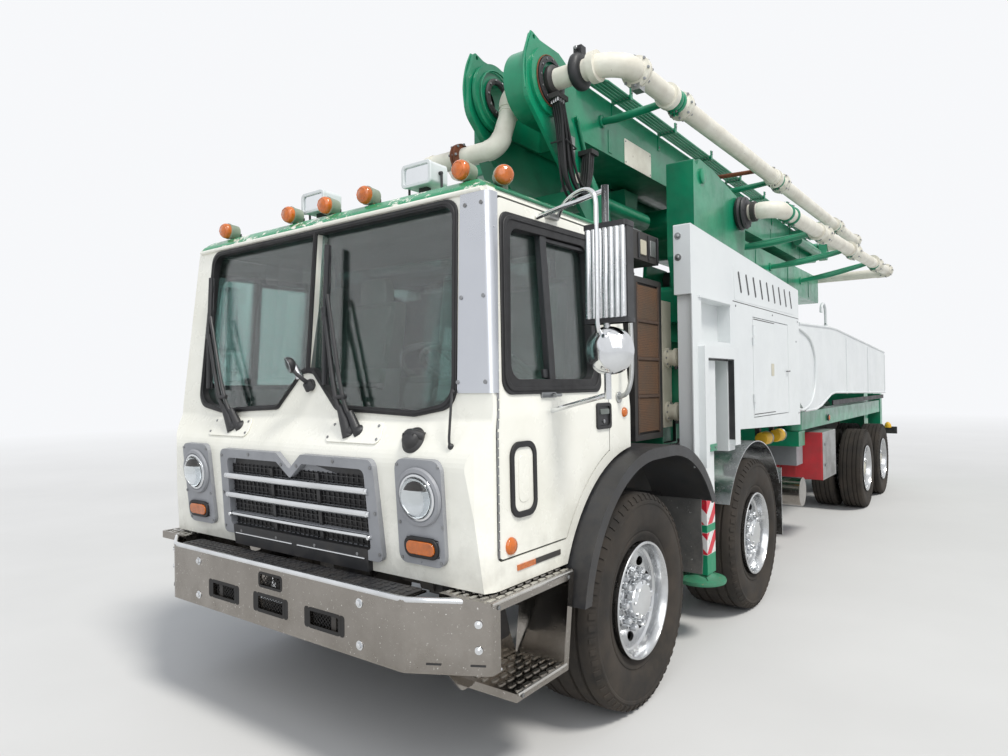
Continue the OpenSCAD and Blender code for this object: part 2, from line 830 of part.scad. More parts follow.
module side_housing() {
    difference() {
        translate([axle_1, 0, 0])
            plate_y([
                [housing_front, 2240, 0], [housing_front, housing_top_f, 10],
                [housing_back, housing_top_b, 10], [housing_back, housing_low, 10],
                [-1560, housing_low + 60, 0], [-1560, 1210, 0], [-1420, 1210, 0], [-1420, 1840, 0],
                [-940, 1840, 0], [-940, 1160, 0], [-830, 1160, 0], [-830, 2240, 0]
            ], housing_in, housing_out);
        // slanted louvres
        for (k = [0:8])
            translate([axle_1 - 2260 - k * 105, 0, 0])
                plate_y([[20, 2300, 0], [-10, 2470, 0], [-34, 2470, 0], [-4, 2300, 0]], housing_in - 1,
                    housing_out + 1);
        // recess in front of the hatch
        translate([axle_1, 0, 0])
            plate_y([[-950, 1960, 0], [-950, 2225, 0], [-1500, 2225, 0], [-1500, 1960, 0]],
                housing_in + 20, housing_out + 1);
        translate([axle_1, 0, 0])
            plate_y([for (p = hatch_rows) [p[0] + (p[0] > -2500 ? run_gap : -run_gap),
                p[1] + (p[1] > 1800 ? run_gap : -run_gap), 10]], housing_out - hatch_t - 2, housing_out + 1);
    }
    // guard round the jack leg, proud of the housing
    translate([axle_1, 0, 0])
        plate_y([
            [-880, 1150, 0], [-880, 1925, 12], [-1545, 1925, 12], [-1545, 1250, 0], [-1440, 1250, 0],
            [-1440, 1845, 8], [-940, 1845, 8], [-940, 1150, 0]
        ], housing_out - 1, housing_out + guard_proud);
    // ties to the frame beams
    for (x = [-2000, -2950])
        box(axle_1 + x - 40, axle_1 + x + 40, rail_y - 10, housing_in, 1620, 1700);
}

module side_housings() color(white) pair() side_housing();

module hatch(side) {
    color(white)
        flip(side) {
            translate([axle_1, 0, 0])
                plate_y(hatch_rows, housing_out - hatch_t + 4, housing_out);
            for (z = [1520, 2080])
                cyl_z(9, z - 40, z + 40, axle_1 - 2022, housing_out + 6, 24);
        }
}

module hatch_left() hatch(1);
module hatch_right() hatch(-1);

fairing_front = -3460;
fairing_back = -8960;
fairing_low = 1400;
fairing_y = 1170;
fairing_t = 60;

module rear_body() color(white) {
    pair()
        difference() {
            translate([axle_1, 0, 0])
                plate_y([
                    [fairing_front, 1560, 200], [fairing_front, 2240, 160], [-5200, 2290, 300],
                    [fairing_back, 2130, 20], [fairing_back, 1500, 20], [-5100, 1560, 120],
                    [-4300, fairing_low, 120], [-3800, fairing_low, 100]
                ], fairing_y - fairing_t, fairing_y);
        }
    box(axle_1 + fairing_back + 100, axle_1 + fairing_front - 300, -fairing_y + fairing_t,
        fairing_y - fairing_t, 1560, 2040);
    // posts that stand on the frame
    for (x = [-5200, -6700, -8200])
        pair() box(axle_1 + x, axle_1 + x + 120, rail_y - 90, rail_y, rail_top, 1560);
}

pump_front = -6900;
pump_back = -9250;

module pump_unit() color(steel) {
    for (side = [-1, 1]) {
        cyl_x(125, axle_1 + pump_back, axle_1 + pump_front, side * 190, 1260);
        cyl_x(75, axle_1 + pump_front, axle_1 + pump_front + 1500, side * 190, 1260);
    }
    box(axle_1 + pump_front - 60, axle_1 + pump_front + 300, -330, 330, rail_top, 1440);
    box(axle_1 + pump_front + 1450, axle_1 + pump_front + 1560, -330, 330, rail_top, 1400);
}

hop_front = -9250;
hop_back = -10150;
hop_half = 820;
hop_top = 1450;
hop_t = 14;

function hopper_rows(t) = [
    [hop_front - t, hop_top + (t > 0 ? 1 : 0), 0], [hop_back + t, hop_top + (t > 0 ? 1 : 0), 0],
    [hop_back + 130 + t, 900, 60], [hop_back + 330, 690 + t, 120], [hop_front - 150, 690 + t, 120],
    [hop_front - t, 850, 60]
];

module hopper() color(green) {
    difference() {
        translate([axle_1, 0, 0]) plate_y(hopper_rows(0), -hop_half, hop_half);
        translate([axle_1, 0, 0]) plate_y(hopper_rows(hop_t), -hop_half + hop_t, hop_half - hop_t);
        cyl_y(30 + fit, -hop_half - 1, hop_half + 1, axle_1 + agitator_x, agitator_z);
    }
    // rear lamp frame and its arms
    pair() {
        box(tail_x, axle_1 + hop_back + 200, 700, 780, 760, 860);
    }
    box(tail_x, tail_x + 60, -1150, 1150, 760, 880);
    // frame plates from the rails
    pair() box(axle_1 + hop_front - 1, axle_1 + rail_back, rail_y - rail_t, rail_y + 20, rail_z + 40, rail_top - 20);
}

agitator_x = -9700;
agitator_z = 1080;

module agitator() color(dark) {
    x = axle_1 + agitator_x;
    cyl_y(30, -hop_half - 60, hop_half + 60, x, agitator_z);
    for (k = [0:5])
        translate([x, -500 + k * 200, agitator_z])
            rotate([0, k * 60, 0]) translate([-25, -8, 25]) cube([50, 16, 190]);
}

grate_t = 30;

module hopper_grate() color(green) {
    x0 = axle_1 + hop_back;
    x1 = axle_1 + hop_front - 10;
    z = hop_top + seat;
    for (x = [x0, x1 - 40]) box(x, x + 40, -hop_half, hop_half, z, z + grate_t);
    for (k = [0:12])
        translate([0, -hop_half + 6 + k * (2 * hop_half - 12 - 12) / 12, 0])
            box(x0, x1, 0, 12, z, z + grate_t);
}

module service_boxes() color(red) {
    // chequered toolbox on a red bracket
    pair() {
        box(axle_1 - 5080, axle_1 - 4440, 760, 1190, 650, 1150);
        box(axle_1 - 5080, axle_1 - 4420, rail_y, 760, 700, 1000);
        // battery box
        box(axle_1 - 4400, axle_1 - 4150, rail_y + 80, 1000, 820, 1020);
        box(axle_1 - 4380, axle_1 - 4180, rail_y, rail_y + 80, 800, 1000);
    }
    // air tank
    cyl_y(140, rail_y + 60, 1120, axle_1 - 3870, 600);
    box(axle_1 - 3920, axle_1 - 3820, rail_y, rail_y + 200, 700, 860);
}

// door of one side with its mirror; the pane is a solid of its own
mirror_x = 750;
mirror_y = 1450;

module door(side) {
    flip(side) {
        color(cream) difference() {
            intersection() {
                door_form(0, cab_y - 200, cab_y + 1);
                difference() {
                    cab_block(0);
                    cab_block(cab_t);
                }
            }
            door_window(0, 900, 1300);
        }
        color(steel) {
            bar([axle_1 + mirror_x, cab_y - 40, 1560], [axle_1 + mirror_x, mirror_y, 1640], 11);
            cyl_z(15, 1620, 2520, axle_1 + mirror_x, mirror_y, 24);
            bar([axle_1 + mirror_x, mirror_y, 2500], [axle_1 + mirror_x, roof_y + 10, 2440], 11);
            box(axle_1 + mirror_x - 60, axle_1 + mirror_x, mirror_y - 98, mirror_y + 98, 1940, 2360);
            cyl_x(100, axle_1 + mirror_x - 50, axle_1 + mirror_x, mirror_y, 1825);
        }
        color(clear_glass) intersection() {
            door_window(-seat, 900, 1300);
            difference() {
                cab_block(cab_t / 2);
                cab_block(cab_t / 2 + glass_t);
            }
        }
    }
}

module door_left() door(1);
module door_right() door(-1);

// steered knuckle with kingpin and spindle
yoke_h = 60;
spindle_end = 1120;

module knuckle(x, side) {
    z = front_r;
    color(dark)
        translate([x, 0, 0])
            flip(side) {
                cyl_z(24, z - 50 - yoke_h, z + 50 + yoke_h, 0, kingpin_y);
                for (low = [z - 50 - yoke_h, z + 51])
                    cyl_z(52, low, low + yoke_h - 1, 0, kingpin_y);
                box(-50, 50, kingpin_y + 56, kingpin_y + 90, z - 50 - yoke_h, z + 50 + yoke_h);
                for (low = [z - 50 - yoke_h, z + 51])
                    box(-50, 50, kingpin_y, kingpin_y + 60, low, low + yoke_h - 1);
                cyl_y(spindle_r, kingpin_y + 80, spindle_end, 0, z);
                // steering arm
                box(-220, -40, kingpin_y + 60, kingpin_y + 85, z - 100, z - 65);
            }
}

module knuckle_1_left() knuckle(axle_1, 1);
module knuckle_1_right() knuckle(axle_1, -1);
module knuckle_2_left() knuckle(axle_2, 1);
module knuckle_2_right() knuckle(axle_2, -1);

// tyre section turned about its axle, as [radius, place across]
function tyre_rows(r, w, inner) = [
    [inner, -w * 0.36, 0], [inner + 30, -w * 0.43, 10], [inner + (r - inner) * 0.5, -w / 2, 60],
    [r - 45, -w * 0.47, 30], [r, -w * 0.38, 25], [r, w * 0.38, 25], [r - 45, w * 0.47, 30],
    [inner + (r - inner) * 0.5, w / 2, 60], [inner + 30, w * 0.43, 10], [inner, w * 0.36, 0]
];

module turned(rows, y, n = 4) {
    translate([0, y, 0])
        rotate([90, 0, 0])
            rotate_extrude($fn = 96)
                polygon(rounded([for (p = rows) [p[0], -p[1], p[2]]], n));
}

rim_t = 14;
rim_flange = 300;

// rim barrel with its disc, as [radius, place across]
function rim_rows(w, disc, hub_r) = [
    [seat_r - seat, -w * 0.42, 0], [rim_flange, -w * 0.46, 4], [rim_flange, -w * 0.49, 4],
    [seat_r - rim_t, -w * 0.47, 8], [seat_r - rim_t - 20, -w * 0.2, 20], [seat_r - rim_t - 20, disc - 40, 20],
    [hub_r, disc - 24, 20], [hub_r, disc, 10], [seat_r - rim_t - 30, disc - 10, 20],
    [seat_r - rim_t, w * 0.3, 20], [rim_flange - 12, w * 0.49, 4],
    [rim_flange, w * 0.49, 4], [rim_flange, w * 0.46, 4], [seat_r - seat, w * 0.42, 0]
];

holes = 10;
hole_ring = 205;
lug_ring = 167;

module front_wheel(x, side) {
    mid = front_face - front_w / 2;
    translate([x, 0, front_r])
        flip(side) {
            color(dark) turned(tyre_rows(front_r, front_w, seat_r), mid);
            color(steel) difference() {
                union() {
                    turned(rim_rows(front_w, 130, 100), mid);
                    cyl_y(130, spindle_end - 60, mid + 128, 0, 0);
                    cyl_y(95, mid + 120, mid + 205, 0, 0);
                    for (a = [0:holes - 1])
                        rotate([0, a * 36 + 18, 0]) cyl_y(17, mid + 120, mid + 185, lug_ring * 0.86, 0, 24);
                }
                for (a = [0:holes - 1])
                    rotate([0, a * 36, 0]) cyl_y(27, mid + 60, mid + 300, hole_ring, 0, 32);
                cyl_y(spindle_r + fit, 0, spindle_end + 20, 0, 0);
            }
        }
}

module rear_wheel(x, side) {
    outer = rear_face - rear_w / 2;
    inner = outer - rear_w - twin_gap;
    translate([x, 0, rear_r])
        flip(side) {
            color(dark) {
                turned(tyre_rows(rear_r, rear_w, seat_r), outer);
                turned(tyre_rows(rear_r, rear_w, seat_r), inner);
            }
            color(steel) difference() {
                union() {
                    turned(rim_rows(rear_w, -70, 100), outer);
                    mirror([0, 1, 0]) turned(rim_rows(rear_w, -70, 100), -inner);
                    cyl_y(140, inner + 60, outer - 72, 0, 0);
                    cyl_y(110, outer - 80, outer + 90, 0, 0);
                    for (a = [0:holes - 1])
                        rotate([0, a * 36 + 18, 0]) cyl_y(17, outer - 75, outer - 40, lug_ring * 0.86, 0, 24);
                }
                for (a = [0:holes - 1])
                    rotate([0, a * 36, 0]) cyl_y(27, inner - 100, outer + 50, hole_ring, 0, 32);
                cyl_y(62 + fit, 0, rear_hub_in + 10, 0, 0);
            }
        }
}

module wheel_1_left() front_wheel(axle_1, 1);
module wheel_1_right() front_wheel(axle_1, -1);
module wheel_2_left() front_wheel(axle_2, 1);
module wheel_2_right() front_wheel(axle_2, -1);
module wheel_3_left() rear_wheel(axle_3, 1);
module wheel_3_right() rear_wheel(axle_3, -1);
module wheel_4_left() rear_wheel(axle_4, 1);
module wheel_4_right() rear_wheel(axle_4, -1);

// telescoping front beam with the sleeve of its jack leg
front_leg_y = 1130;
sleeve_t = 12;

module leg_sleeve(x, y, z0, z1) {
    w = leg_w / 2 + fit * 4;
    difference() {
        box(x - w - sleeve_t, x + w + sleeve_t, y - w - sleeve_t, y + w + sleeve_t, z0, z1);
        box(x - w, x + w, y - w, y + w, z0 - 1, z1 - sleeve_t);
    }
}

module front_arm(side) {
    x = axle_1 - outrig_x;
    mid = beam_mid(side);
    color(green)
        flip(side) {
            difference() {
                box(x - beam_w / 2, x + beam_w / 2, -guide_half + 20, front_leg_y, mid - beam_h / 2,
                    mid + beam_h / 2);
                box(x - leg_w / 2 - 2, x + leg_w / 2 + 2, front_leg_y - leg_w / 2 - 2, front_leg_y + 200, 0,
                    1819);
            }
            leg_sleeve(x, front_leg_y, 1240, 1830);
        }
}

module front_arm_left() front_arm(1);
module front_arm_right() front_arm(-1);

// jack leg with its round foot
leg_top = 1800;

module jack_leg(x, y, top, side) {
    color(white)
        flip(side) {
            box(x - leg_w / 2, x + leg_w / 2, y - leg_w / 2, y + leg_w / 2, foot_z + 60, top);
            cyl_z(60, foot_z + 20, foot_z + 70, x, y);
            cyl_z(foot_r, foot_z, foot_z + 24, x, y);
        }
}

module front_leg_left() jack_leg(axle_1 - outrig_x, front_leg_y, leg_top, 1);
module front_leg_right() jack_leg(axle_1 - outrig_x, front_leg_y, leg_top, -1);

// swinging rear arm with the sleeve of its jack leg
function rear_leg_x() = axle_1 - swing_x - swing_l;

module rear_arm(side) {
    x = axle_1 - swing_x;
    color(green)
        flip(side) {
            difference() {
                union() {
                    box(rear_leg_x() + leg_w / 2 + 4, x, swing_y - swing_w / 2, swing_y + swing_w / 2, swing_low,
                        swing_low + swing_h);
                    cyl_z(95, swing_low, swing_low + swing_h, x, swing_y);
                }
                cyl_z(45 + fit, 0, 3000, x, swing_y);
            }
            leg_sleeve(rear_leg_x(), swing_y, 900, 1480);
        }
}

module rear_arm_left() rear_arm(1);
module rear_arm_right() rear_arm(-1);
module rear_leg_left() jack_leg(rear_leg_x(), swing_y, 1460, 1);
module rear_leg_right() jack_leg(rear_leg_x(), swing_y, 1460, -1);

// slewing turret with its two cheeks
cheek_in = 550;
cheek_out = 780;
lift_foot = [-930, 2760];
lift_eye = [-1800, -430];

module turret() color(green) {
    cyl_z(pedestal_r + 60, slew_z + seat, slew_z + 120, slew, 0, 64);
    difference() {
        union() {
            pair() translate([slew, 0, 0])
                plate_y([
                    [430, slew_z + 100, 0], [600, 2720, 60], [600, 3505, 15], [520, 3440, 30],
                    [470, 3520, 40], [150, 3500, 300], [-pivot_a_back - 200, pivot_a_z + 120, 150],
                    [-pivot_a_back - 200, pivot_a_z - 200, 120], [-640, 2800, 80], [-430, slew_z + 100, 0]
                ], cheek_in, cheek_out);
            // floor between the cheeks
            translate([slew, 0, 0])
                plate_y([
                    [430, slew_z + 100, 0], [500, 2500, 40], [-500, 2500, 40], [-430, slew_z + 100, 0]
                ], -cheek_in - 1, cheek_in + 1);
            // bracket for the foot of the lift cylinder
            pair() translate([slew, 0, 0])
                plate_y([
                    [-400, slew_z + 300, 0], [-470, 2880, 40], [lift_foot[0] - 90, 2870, 80],
                    [lift_foot[0] - 90, 2690, 80], [-560, slew_z + 300, 60]
                ], 125, 165);
        }
        cyl_y(90 + fit, -cheek_out - 1, cheek_out + 1, pivot_a[0], pivot_a_z);
        cyl_y(50 + fit, -200, 200, slew + lift_foot[0], lift_foot[1]);
    }
}

// lift cylinder, built from its foot towards its eye
foot_x = slew + lift_foot[0];
foot_height = lift_foot[1];
eye_x = pivot_a[0] + lift_eye[0];
eye_height = pivot_a_z + lift_eye[1];
lift_len = norm([eye_x - foot_x, eye_height - foot_height]);
lift_tilt = atan2(eye_height - foot_height, foot_x - eye_x);
lift_bore_r = 85;

module along_lift() {
    translate([foot_x, 0, foot_height])
        rotate([0, lift_tilt, 0])
            children();
}

module lift_barrel() color(dark) {
    along_lift() {
        difference() {
            union() {
                cyl_x(110, -lift_len + 200, -100, 0, 0);
                cyl_y(95, -118, 118, 0, 0);
                box(-120, 0, -70, 70, -90, 90);
            }
            cyl_x(lift_bore_r, -lift_len + 230, -140, 0, 0);
            cyl_x(60 + fit, -lift_len + 199, -lift_len + 231, 0, 0);
        }
        cyl_y(50, -165, 165, 0, 0);
    }
}

module lift_rod() color(steel) {
    along_lift() {
        cyl_x(lift_bore_r - fit, -195, -145, 0, 0);
        cyl_x(60, -lift_len + 60, -190, 0, 0);
        cyl_y(90, -80, 80, -lift_len, 0);
    }
}

depth_a = 420;
top_a = pivot_a_z + 130;
low_a = top_a - depth_a;

// outer face of the rear fork of A
fork_a_y = lane_b[0] - 12 - fork_t;

module boom_a() color(green) {
    px = pivot_a[0];
    bx = pivot_b[0];
    difference() {
        union() {
            plate_y([
                [px - 100, top_a, 80], [px + 120, pivot_a_z + 90, 80], [px + 130, pivot_a_z - 110, 80],
                [px - 250, low_a, 200], [bx + 300, low_a, 40], [bx + 300, top_a, 20]
            ], lane_a[0], lane_a[1]);
            cyl_y(160, -cheek_in + 6, cheek_in - 6, px, pivot_a_z);
            cyl_y(90, -cheek_out, cheek_out, px, pivot_a_z);
            // box that carries the rear fork
            box(bx + 300, bx + 900, fork_a_y, lane_a[0], low_a, top_a);
            // fork plates round the root of B
            for (y = [fork_a_y, lane_a[0]])
                plate_y([
                    [bx + 700, top_a, 40], [bx + 260, top_a, 60], [bx + 160, pivot_b_z + 220, 120],
                    [bx - 200, pivot_b_z + 200, 160], [bx - 220, pivot_b_z - 180, 160],
                    [bx + 260, low_a + 60, 100], [bx + 700, low_a, 40]
                ], y, y + fork_t);
            // lugs for the eye of the lift cylinder
            for (y = [-130, 90])
                plate_y([
                    [eye_x - 110, eye_height - 60, 80], [eye_x + 110, eye_height - 60, 80],
                    [eye_x + 200, low_a + 5, 0], [eye_x - 200, low_a + 5, 0]
                ], y, y + 40);
        }
        cyl_y(100 + fit, fork_a_y - 1, 0, bx, pivot_b_z);
        // way of the rod of the first fold cylinder
        cyl_x(60, bx + 200, bx + 1000, rod_b_y, rod_b_z);
    }
    // the two heads of the eye's pin
    for (y = [-148, 129]) cyl_y(50, y, y + 19, eye_x, eye_height);
    // barrel of the first fold cylinder
    difference() {
        cyl_x(80, bx + 960, bx + 2200, rod_b_y, rod_b_z);
        cyl_x(61, bx + 959, bx + 2140, rod_b_y, rod_b_z);
    }
    // bracket at the barrel's closed end, outside its bore
    box(bx + 2000, bx + 2200, rod_b_y + 65, lane_a[0], rod_b_z - 60, rod_b_z + 60);
    box(bx + 899, bx + 1010, rod_b_y - 80, lane_a[0], rod_b_z + 61, rod_b_z + 110);
}

rod_b_y = -400;
rod_b_z = pivot_a_z - 120;

module rod_b() color(steel) {
    bx = pivot_b[0];
    cyl_x(40, bx + 300, bx + 1500, rod_b_y, rod_b_z);
    cyl_x(60, bx + 1500, bx + 1560, rod_b_y, rod_b_z);
}

// pipe run with a coupling ring at each joint of its tubes
module coupling_x(x, y, z) {
    cyl_x(pipe_r + 22, x - 28, x + 28, y, z, 32);
}

module pipe_a() color(white) {
    x = pivot_a[0];
    z = pivot_a_z;
    y = 1130;
    cyl_y(pipe_r + 45, cheek_out + run_gap, cheek_out + 80, x, z);
    tube_run([
        [x, cheek_out + 60, z], [x, y, z], [pivot_b[0], 1240, pivot_b_z], [pivot_b[0], -160, pivot_b_z]
    ], pipe_r);
    for (k = [0.2, 0.5, 0.8])
        coupling_x(x - 400 - k * (len_a - 700), y + k * 110, z + k * (pivot_b_z + 20 - z));
    // struts to the side of A
    for (k = [0.2, 0.5, 0.8]) {
        cyl_y(34, lane_a[1] + seat, lane_a[1] + 14, x - 300 - k * (len_a - 700), 3200, 24);
        bar([x - 300 - k * (len_a - 700), lane_a[1] + 8, 3200],
            [x - 420 - k * (len_a - 700), y - pipe_r + 30 + k * 110, z + k * (pivot_b_z + 20 - z)], 22);
    }
}

low_b = pivot_b_z + 30;
ear_hole_r = 14;
// underside of the neck towards C, and upper edge
neck_b = pivot_c_z - 960;
top_b = pivot_c_z + 160;

module boom_b() color(green) {
    bx = pivot_b[0];
    cx = pivot_c[0];
    difference() {
        union() {
            cyl_y(220, lane_b[0], lane_b[1], bx, pivot_b_z);
            plate_y([
                [bx, low_b, 0], [cx - 1400, low_b, 100], [cx - 1150, neck_b, 60], [cx - 700, neck_b, 60],
                [cx - 250, low_b + 100, 200], [cx - 250, top_b, 60], [cx - 1500, top_b, 300],
                [bx + 300, pivot_b_z + 375, 200], [bx - 120, pivot_b_z + 160, 60]
            ], lane_b[0], lane_b[1]);
            cyl_y(100, fork_a_y - 20, lane_b[1] + 48, bx, pivot_b_z);
            // front fork round the root of C
            for (y = [lane_b[1], lane_c[1] + 12])
                plate_y([
                    [cx + 265, pivot_c_z - 160, 150], [cx + 262, pivot_c_z + 100, 100],
                    [cx + 190, top_b + 120, 20], [cx + 90, top_b + 92, 60], [cx - 150, top_b + 92, 200],
                    [cx - 360, top_b, 60], [cx - 420, top_b - 450, 80], [cx - 1050, neck_b + 10, 60],
                    [cx - 640, neck_b - 10, 60],
                    [cx + 100, pivot_c_z - 300, 200]
                ], y, y + fork_t + (y < 0 ? 15 : 0));
            // raised rings round the pin
            for (y = [[lane_b[1] - 22, lane_b[1] + 1], [lane_c[1] + fork_t + 11, lane_c[1] + fork_t + 32]])
                cyl_y(225, y[0], y[1], cx, pivot_c_z, 64);
            // crosspieces between the fork plates
            box(cx - 900, cx - 820, lane_b[1] - 5, lane_c[1] + 20, neck_b + 60, neck_b + 270);
            box(cx - 620, cx - 560, lane_b[1] - 5, lane_c[1] + 20, neck_b + 280, neck_b + 380);
        }
        cyl_y(120 + fit, lane_b[1] - 30, lane_c[1] + 80, cx, pivot_c_z);
        cyl_y(ear_hole_r, lane_b[1] - 1, lane_c[1] + 60, cx + 165, top_b + 88, 24);
    }
    // barrel of the second fold cylinder and its lug
    difference() {
        cyl_x(80, rod_c_back, rod_c_back + 1000, rod_c_y, rod_c_z);
        cyl_x(61, rod_c_back + 60, rod_c_back + 1001, rod_c_y, rod_c_z);
    }
    plate_y([
        [rod_c_back, rod_c_z - 60, 20], [rod_c_back + 160, rod_c_z - 60, 20],
        [rod_c_back + 220, low_b + 40, 0], [rod_c_back - 60, low_b + 40, 0]
    ], lane_b[1] - 20, rod_c_y - 70);
}

rod_c_y = 50;
rod_c_z = pivot_c_z - 550;
rod_c_back = pivot_c[0] - 2000;

module rod_c() color(steel) {
    cx = pivot_c[0];
    cyl_x(40, rod_c_back + 600, cx - 560 - run_gap - 60, rod_c_y, rod_c_z);
    cyl_x(60, rod_c_back + 560, rod_c_back + 610, rod_c_y, rod_c_z);
}

pipe_b_y = -700;
pipe_b_in = -20;
pipe_b_z = pivot_c_z - 100;
pipe_b_low = pivot_c_z - 410;

module pipe_b() color(white) {
    bx = pivot_b[0];
    cx = pivot_c[0];
    tube_run([
        [bx, fork_a_y - 20 - seat, pivot_b_z], [bx, pipe_b_y, pivot_b_z], [bx + 500, pipe_b_y, pipe_b_z],
        [cx - 600, pipe_b_y, pipe_b_z - 20], [cx + 130, pipe_b_y, pipe_b_low], [cx + 130, pipe_b_in, pipe_b_low],
        [cx, pipe_b_in, pivot_c_z - 130], [cx, pipe_b_in, pivot_c_z], [cx, neck_c - seat, pivot_c_z]
    ], pipe_r - 4, 90);
    cyl_x(pipe_r + 22, cx - 700, cx - 644, pipe_b_y, pipe_b_z - 17, 32);
    for (k = [0.25, 0.5, 0.75]) {
        coupling_x(bx + 500 + k * (len_b - 900), pipe_b_y, pipe_b_z);
        box(bx + 460 + k * (len_b - 900), bx + 500 + k * (len_b - 900), pipe_b_y, lane_b[0] - seat,
            pipe_b_z - 50, pipe_b_z - 20);
    }
}

low_c = pivot_c_z - 240;
top_c = pivot_c_z + 190;
// inner face of the root cheek that the pipe passes through
neck_c = 110;

module boom_c() color(green) {
    cx = pivot_c[0];
    dx = pivot_d[0];
    difference() {
        union() {
            // cheek on the pipe's side and a thin one at the open end of the pin
            for (y = [[neck_c, lane_c[1]], [lane_c[0], lane_c[0] + fork_t]]) {
                cyl_y(240, y[0], y[1], cx, pivot_c_z, 64);
                plate_y([
                    [cx, low_c, 0], [cx, top_c + 45, 0], [cx - 700, top_c, 300], [cx - 900, top_c, 0],
                    [cx - 900, low_c, 0]
                ], y[0], y[1]);
            }
            plate_y([
                [cx - 560, low_c, 0], [cx - 560, top_c + 2, 0], [cx - 900, top_c, 0], [dx + 200, pivot_d_z + 10, 300],
                [dx - 80, pivot_d_z + 90, 80], [dx - 110, pivot_d_z - 60, 80], [dx + 200, pivot_d_z - 270, 100],
                [dx + 900, low_c, 200]
            ], lane_c[0], lane_c[1]);
            cyl_y(75, lane_d[1] + run_gap, lane_c[1], dx, pivot_d_z);
            cyl_y(120, neck_c + 20, lane_c[1] + 60, cx, pivot_c_z);
            cyl_y(120, -208, lane_c[0] + fork_t, cx, pivot_c_z);
        }
        cyl_y(48 + fit, -2000, 2000, dx, pivot_d_z);
        cyl_y(96, -300, 0, cx, pivot_c_z);
    }
    // barrel of the third fold cylinder
    difference() {
        cyl_x(62, dx + 500, dx + 1700, rod_d_y, rod_d_z);
        cyl_x(46, dx + 499, dx + 1640, rod_d_y, rod_d_z);
    }
    for (x = [dx + 600, dx + 1550])
        box(x, x + 60, lane_c[1] - 5, rod_d_y - 48, rod_d_z - 90, rod_d_z + 120);
}

rod_d_y = 360;
rod_d_z = pivot_d_z - 170;
// half width of the lever on the third pivot
lever_half = 60;

module rod_d() color(steel) {
    dx = pivot_d[0];
    cyl_x(30, dx + 180, dx + 1100, rod_d_y, rod_d_z);
    cyl_x(45, dx + 1100, dx + 1140, rod_d_y, rod_d_z);
}

pipe_c_y = 850;

module pipe_c() color(white) {
    cx = pivot_c[0];
    dx = pivot_d[0];
    tube_run([
        [cx, lane_c[1] + 62, pivot_c_z], [cx, pipe_c_y, pivot_c_z], [dx, pipe_c_y, pivot_d_z],
        [dx, rod_d_y + lever_half + 5, pivot_d_z]
    ], pipe_r, 200);
    cyl_y(pipe_r + 30, 650, 700, cx, pivot_c_z);
    for (k = [0.06, 0.42, 0.8]) {
        x = cx - 380 - k * (len_c - 600);
        coupling_x(x + 80, pipe_c_y, pipe_c_z(x + 80));
        cyl_y(32, lane_c[1] + seat, lane_c[1] + 14, x, pipe_c_z(x) - 20, 24);
        bar([x, lane_c[1] + 8, pipe_c_z(x) - 20], [x, pipe_c_y - 20, pipe_c_z(x)], 20);
    }
}

// height of the pipe on C at a place along the machine
function pipe_c_z(x) = pivot_c_z + (pivot_d_z - pivot_c_z) * (pivot_c[0] - x) / len_c;

module boom_d() color(green) {
    dx = pivot_d[0];
    cyl_y(110, lane_d[0], lane_d[1], dx, pivot_d_z);
    plate_y([
        [dx - 60, pivot_d_z - 80, 0], [dx + 200, pivot_d_z - 390, 120], [tip_d, pivot_d_z - 310, 20],
        [tip_d, pivot_d_z - 110, 20], [dx + 700, pivot_d_z - 60, 200], [dx, pivot_d_z + 100, 0]
    ], lane_d[0], lane_d[1]);
    cyl_y(48, lane_d[1] - 1, rod_d_y + lever_half + 4, dx, pivot_d_z);
    // lever of the third fold cylinder
    difference() {
        plate_y([
            [dx - 85, pivot_d_z + 85, 60], [dx + 85, pivot_d_z + 85, 60], [dx + 100, pivot_d_z - 60, 20],
            [dx + 160, rod_d_z - 40, 20], [dx + 40, rod_d_z - 60, 30], [dx - 80, pivot_d_z - 40, 30]
        ], rod_d_y - lever_half, rod_d_y + lever_half);
    }
}

pipe_d_y = -1235;
pipe_d_z = pivot_d_z - 210;

module pipe_d() color(white) {
    dx = pivot_d[0];
    tube_run([
        [dx, lane_d[0] - 1, pivot_d_z], [dx, pipe_d_y, pivot_d_z], [dx + 400, pipe_d_y, pipe_d_z],
        [tip_d - 20, pipe_d_y, pipe_d_z]
    ], pipe_r - 8, 80);
    // flange and the free end that takes the hose
    cyl_x(pipe_r + 22, tip_d - 40, tip_d, pipe_d_y, pipe_d_z);
    cyl_x(pipe_r - 8, tip_d - 1, tip_d + 60, pipe_d_y, pipe_d_z);
    for (k = [0.3, 0.6, 0.9]) {
        coupling_x(dx + 400 + k * (len_d - 500), pipe_d_y, pipe_d_z);
        box(dx + 360 + k * (len_d - 500), dx + 400 + k * (len_d - 500), pipe_d_y, lane_d[0] - seat,
            pipe_d_z - 40, pipe_d_z - 10);
    }
}

chassis();
axles();
powertrain();
cab_shell();
cab_glass();
cab_interior();
grille();
lamps();
bumper();
fenders();
mudguards();
cooler();
pedestal();
side_housings();
rear_body();
pump_unit();
hopper();
service_boxes();
agitator();
hopper_grate();
door_left();
door_right();
hatch_left();
hatch_right();
knuckle_1_left();
knuckle_1_right();
knuckle_2_left();
knuckle_2_right();
wheel_1_left();
wheel_1_right();
wheel_2_left();
wheel_2_right();
wheel_3_left();
wheel_3_right();
wheel_4_left();
wheel_4_right();
front_arm_left();
front_arm_right();
front_leg_left();
front_leg_right();
rear_arm_left();
rear_arm_right();
rear_leg_left();
rear_leg_right();
turret();
lift_barrel();
lift_rod();
boom_a();
pipe_a();
rod_b();
boom_b();
pipe_b();
rod_c();
boom_c();
pipe_c();
rod_d();
boom_d();
pipe_d();
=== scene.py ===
from collections import namedtuple
from math import acos, atan2, cos, pi, radians, sin, tan

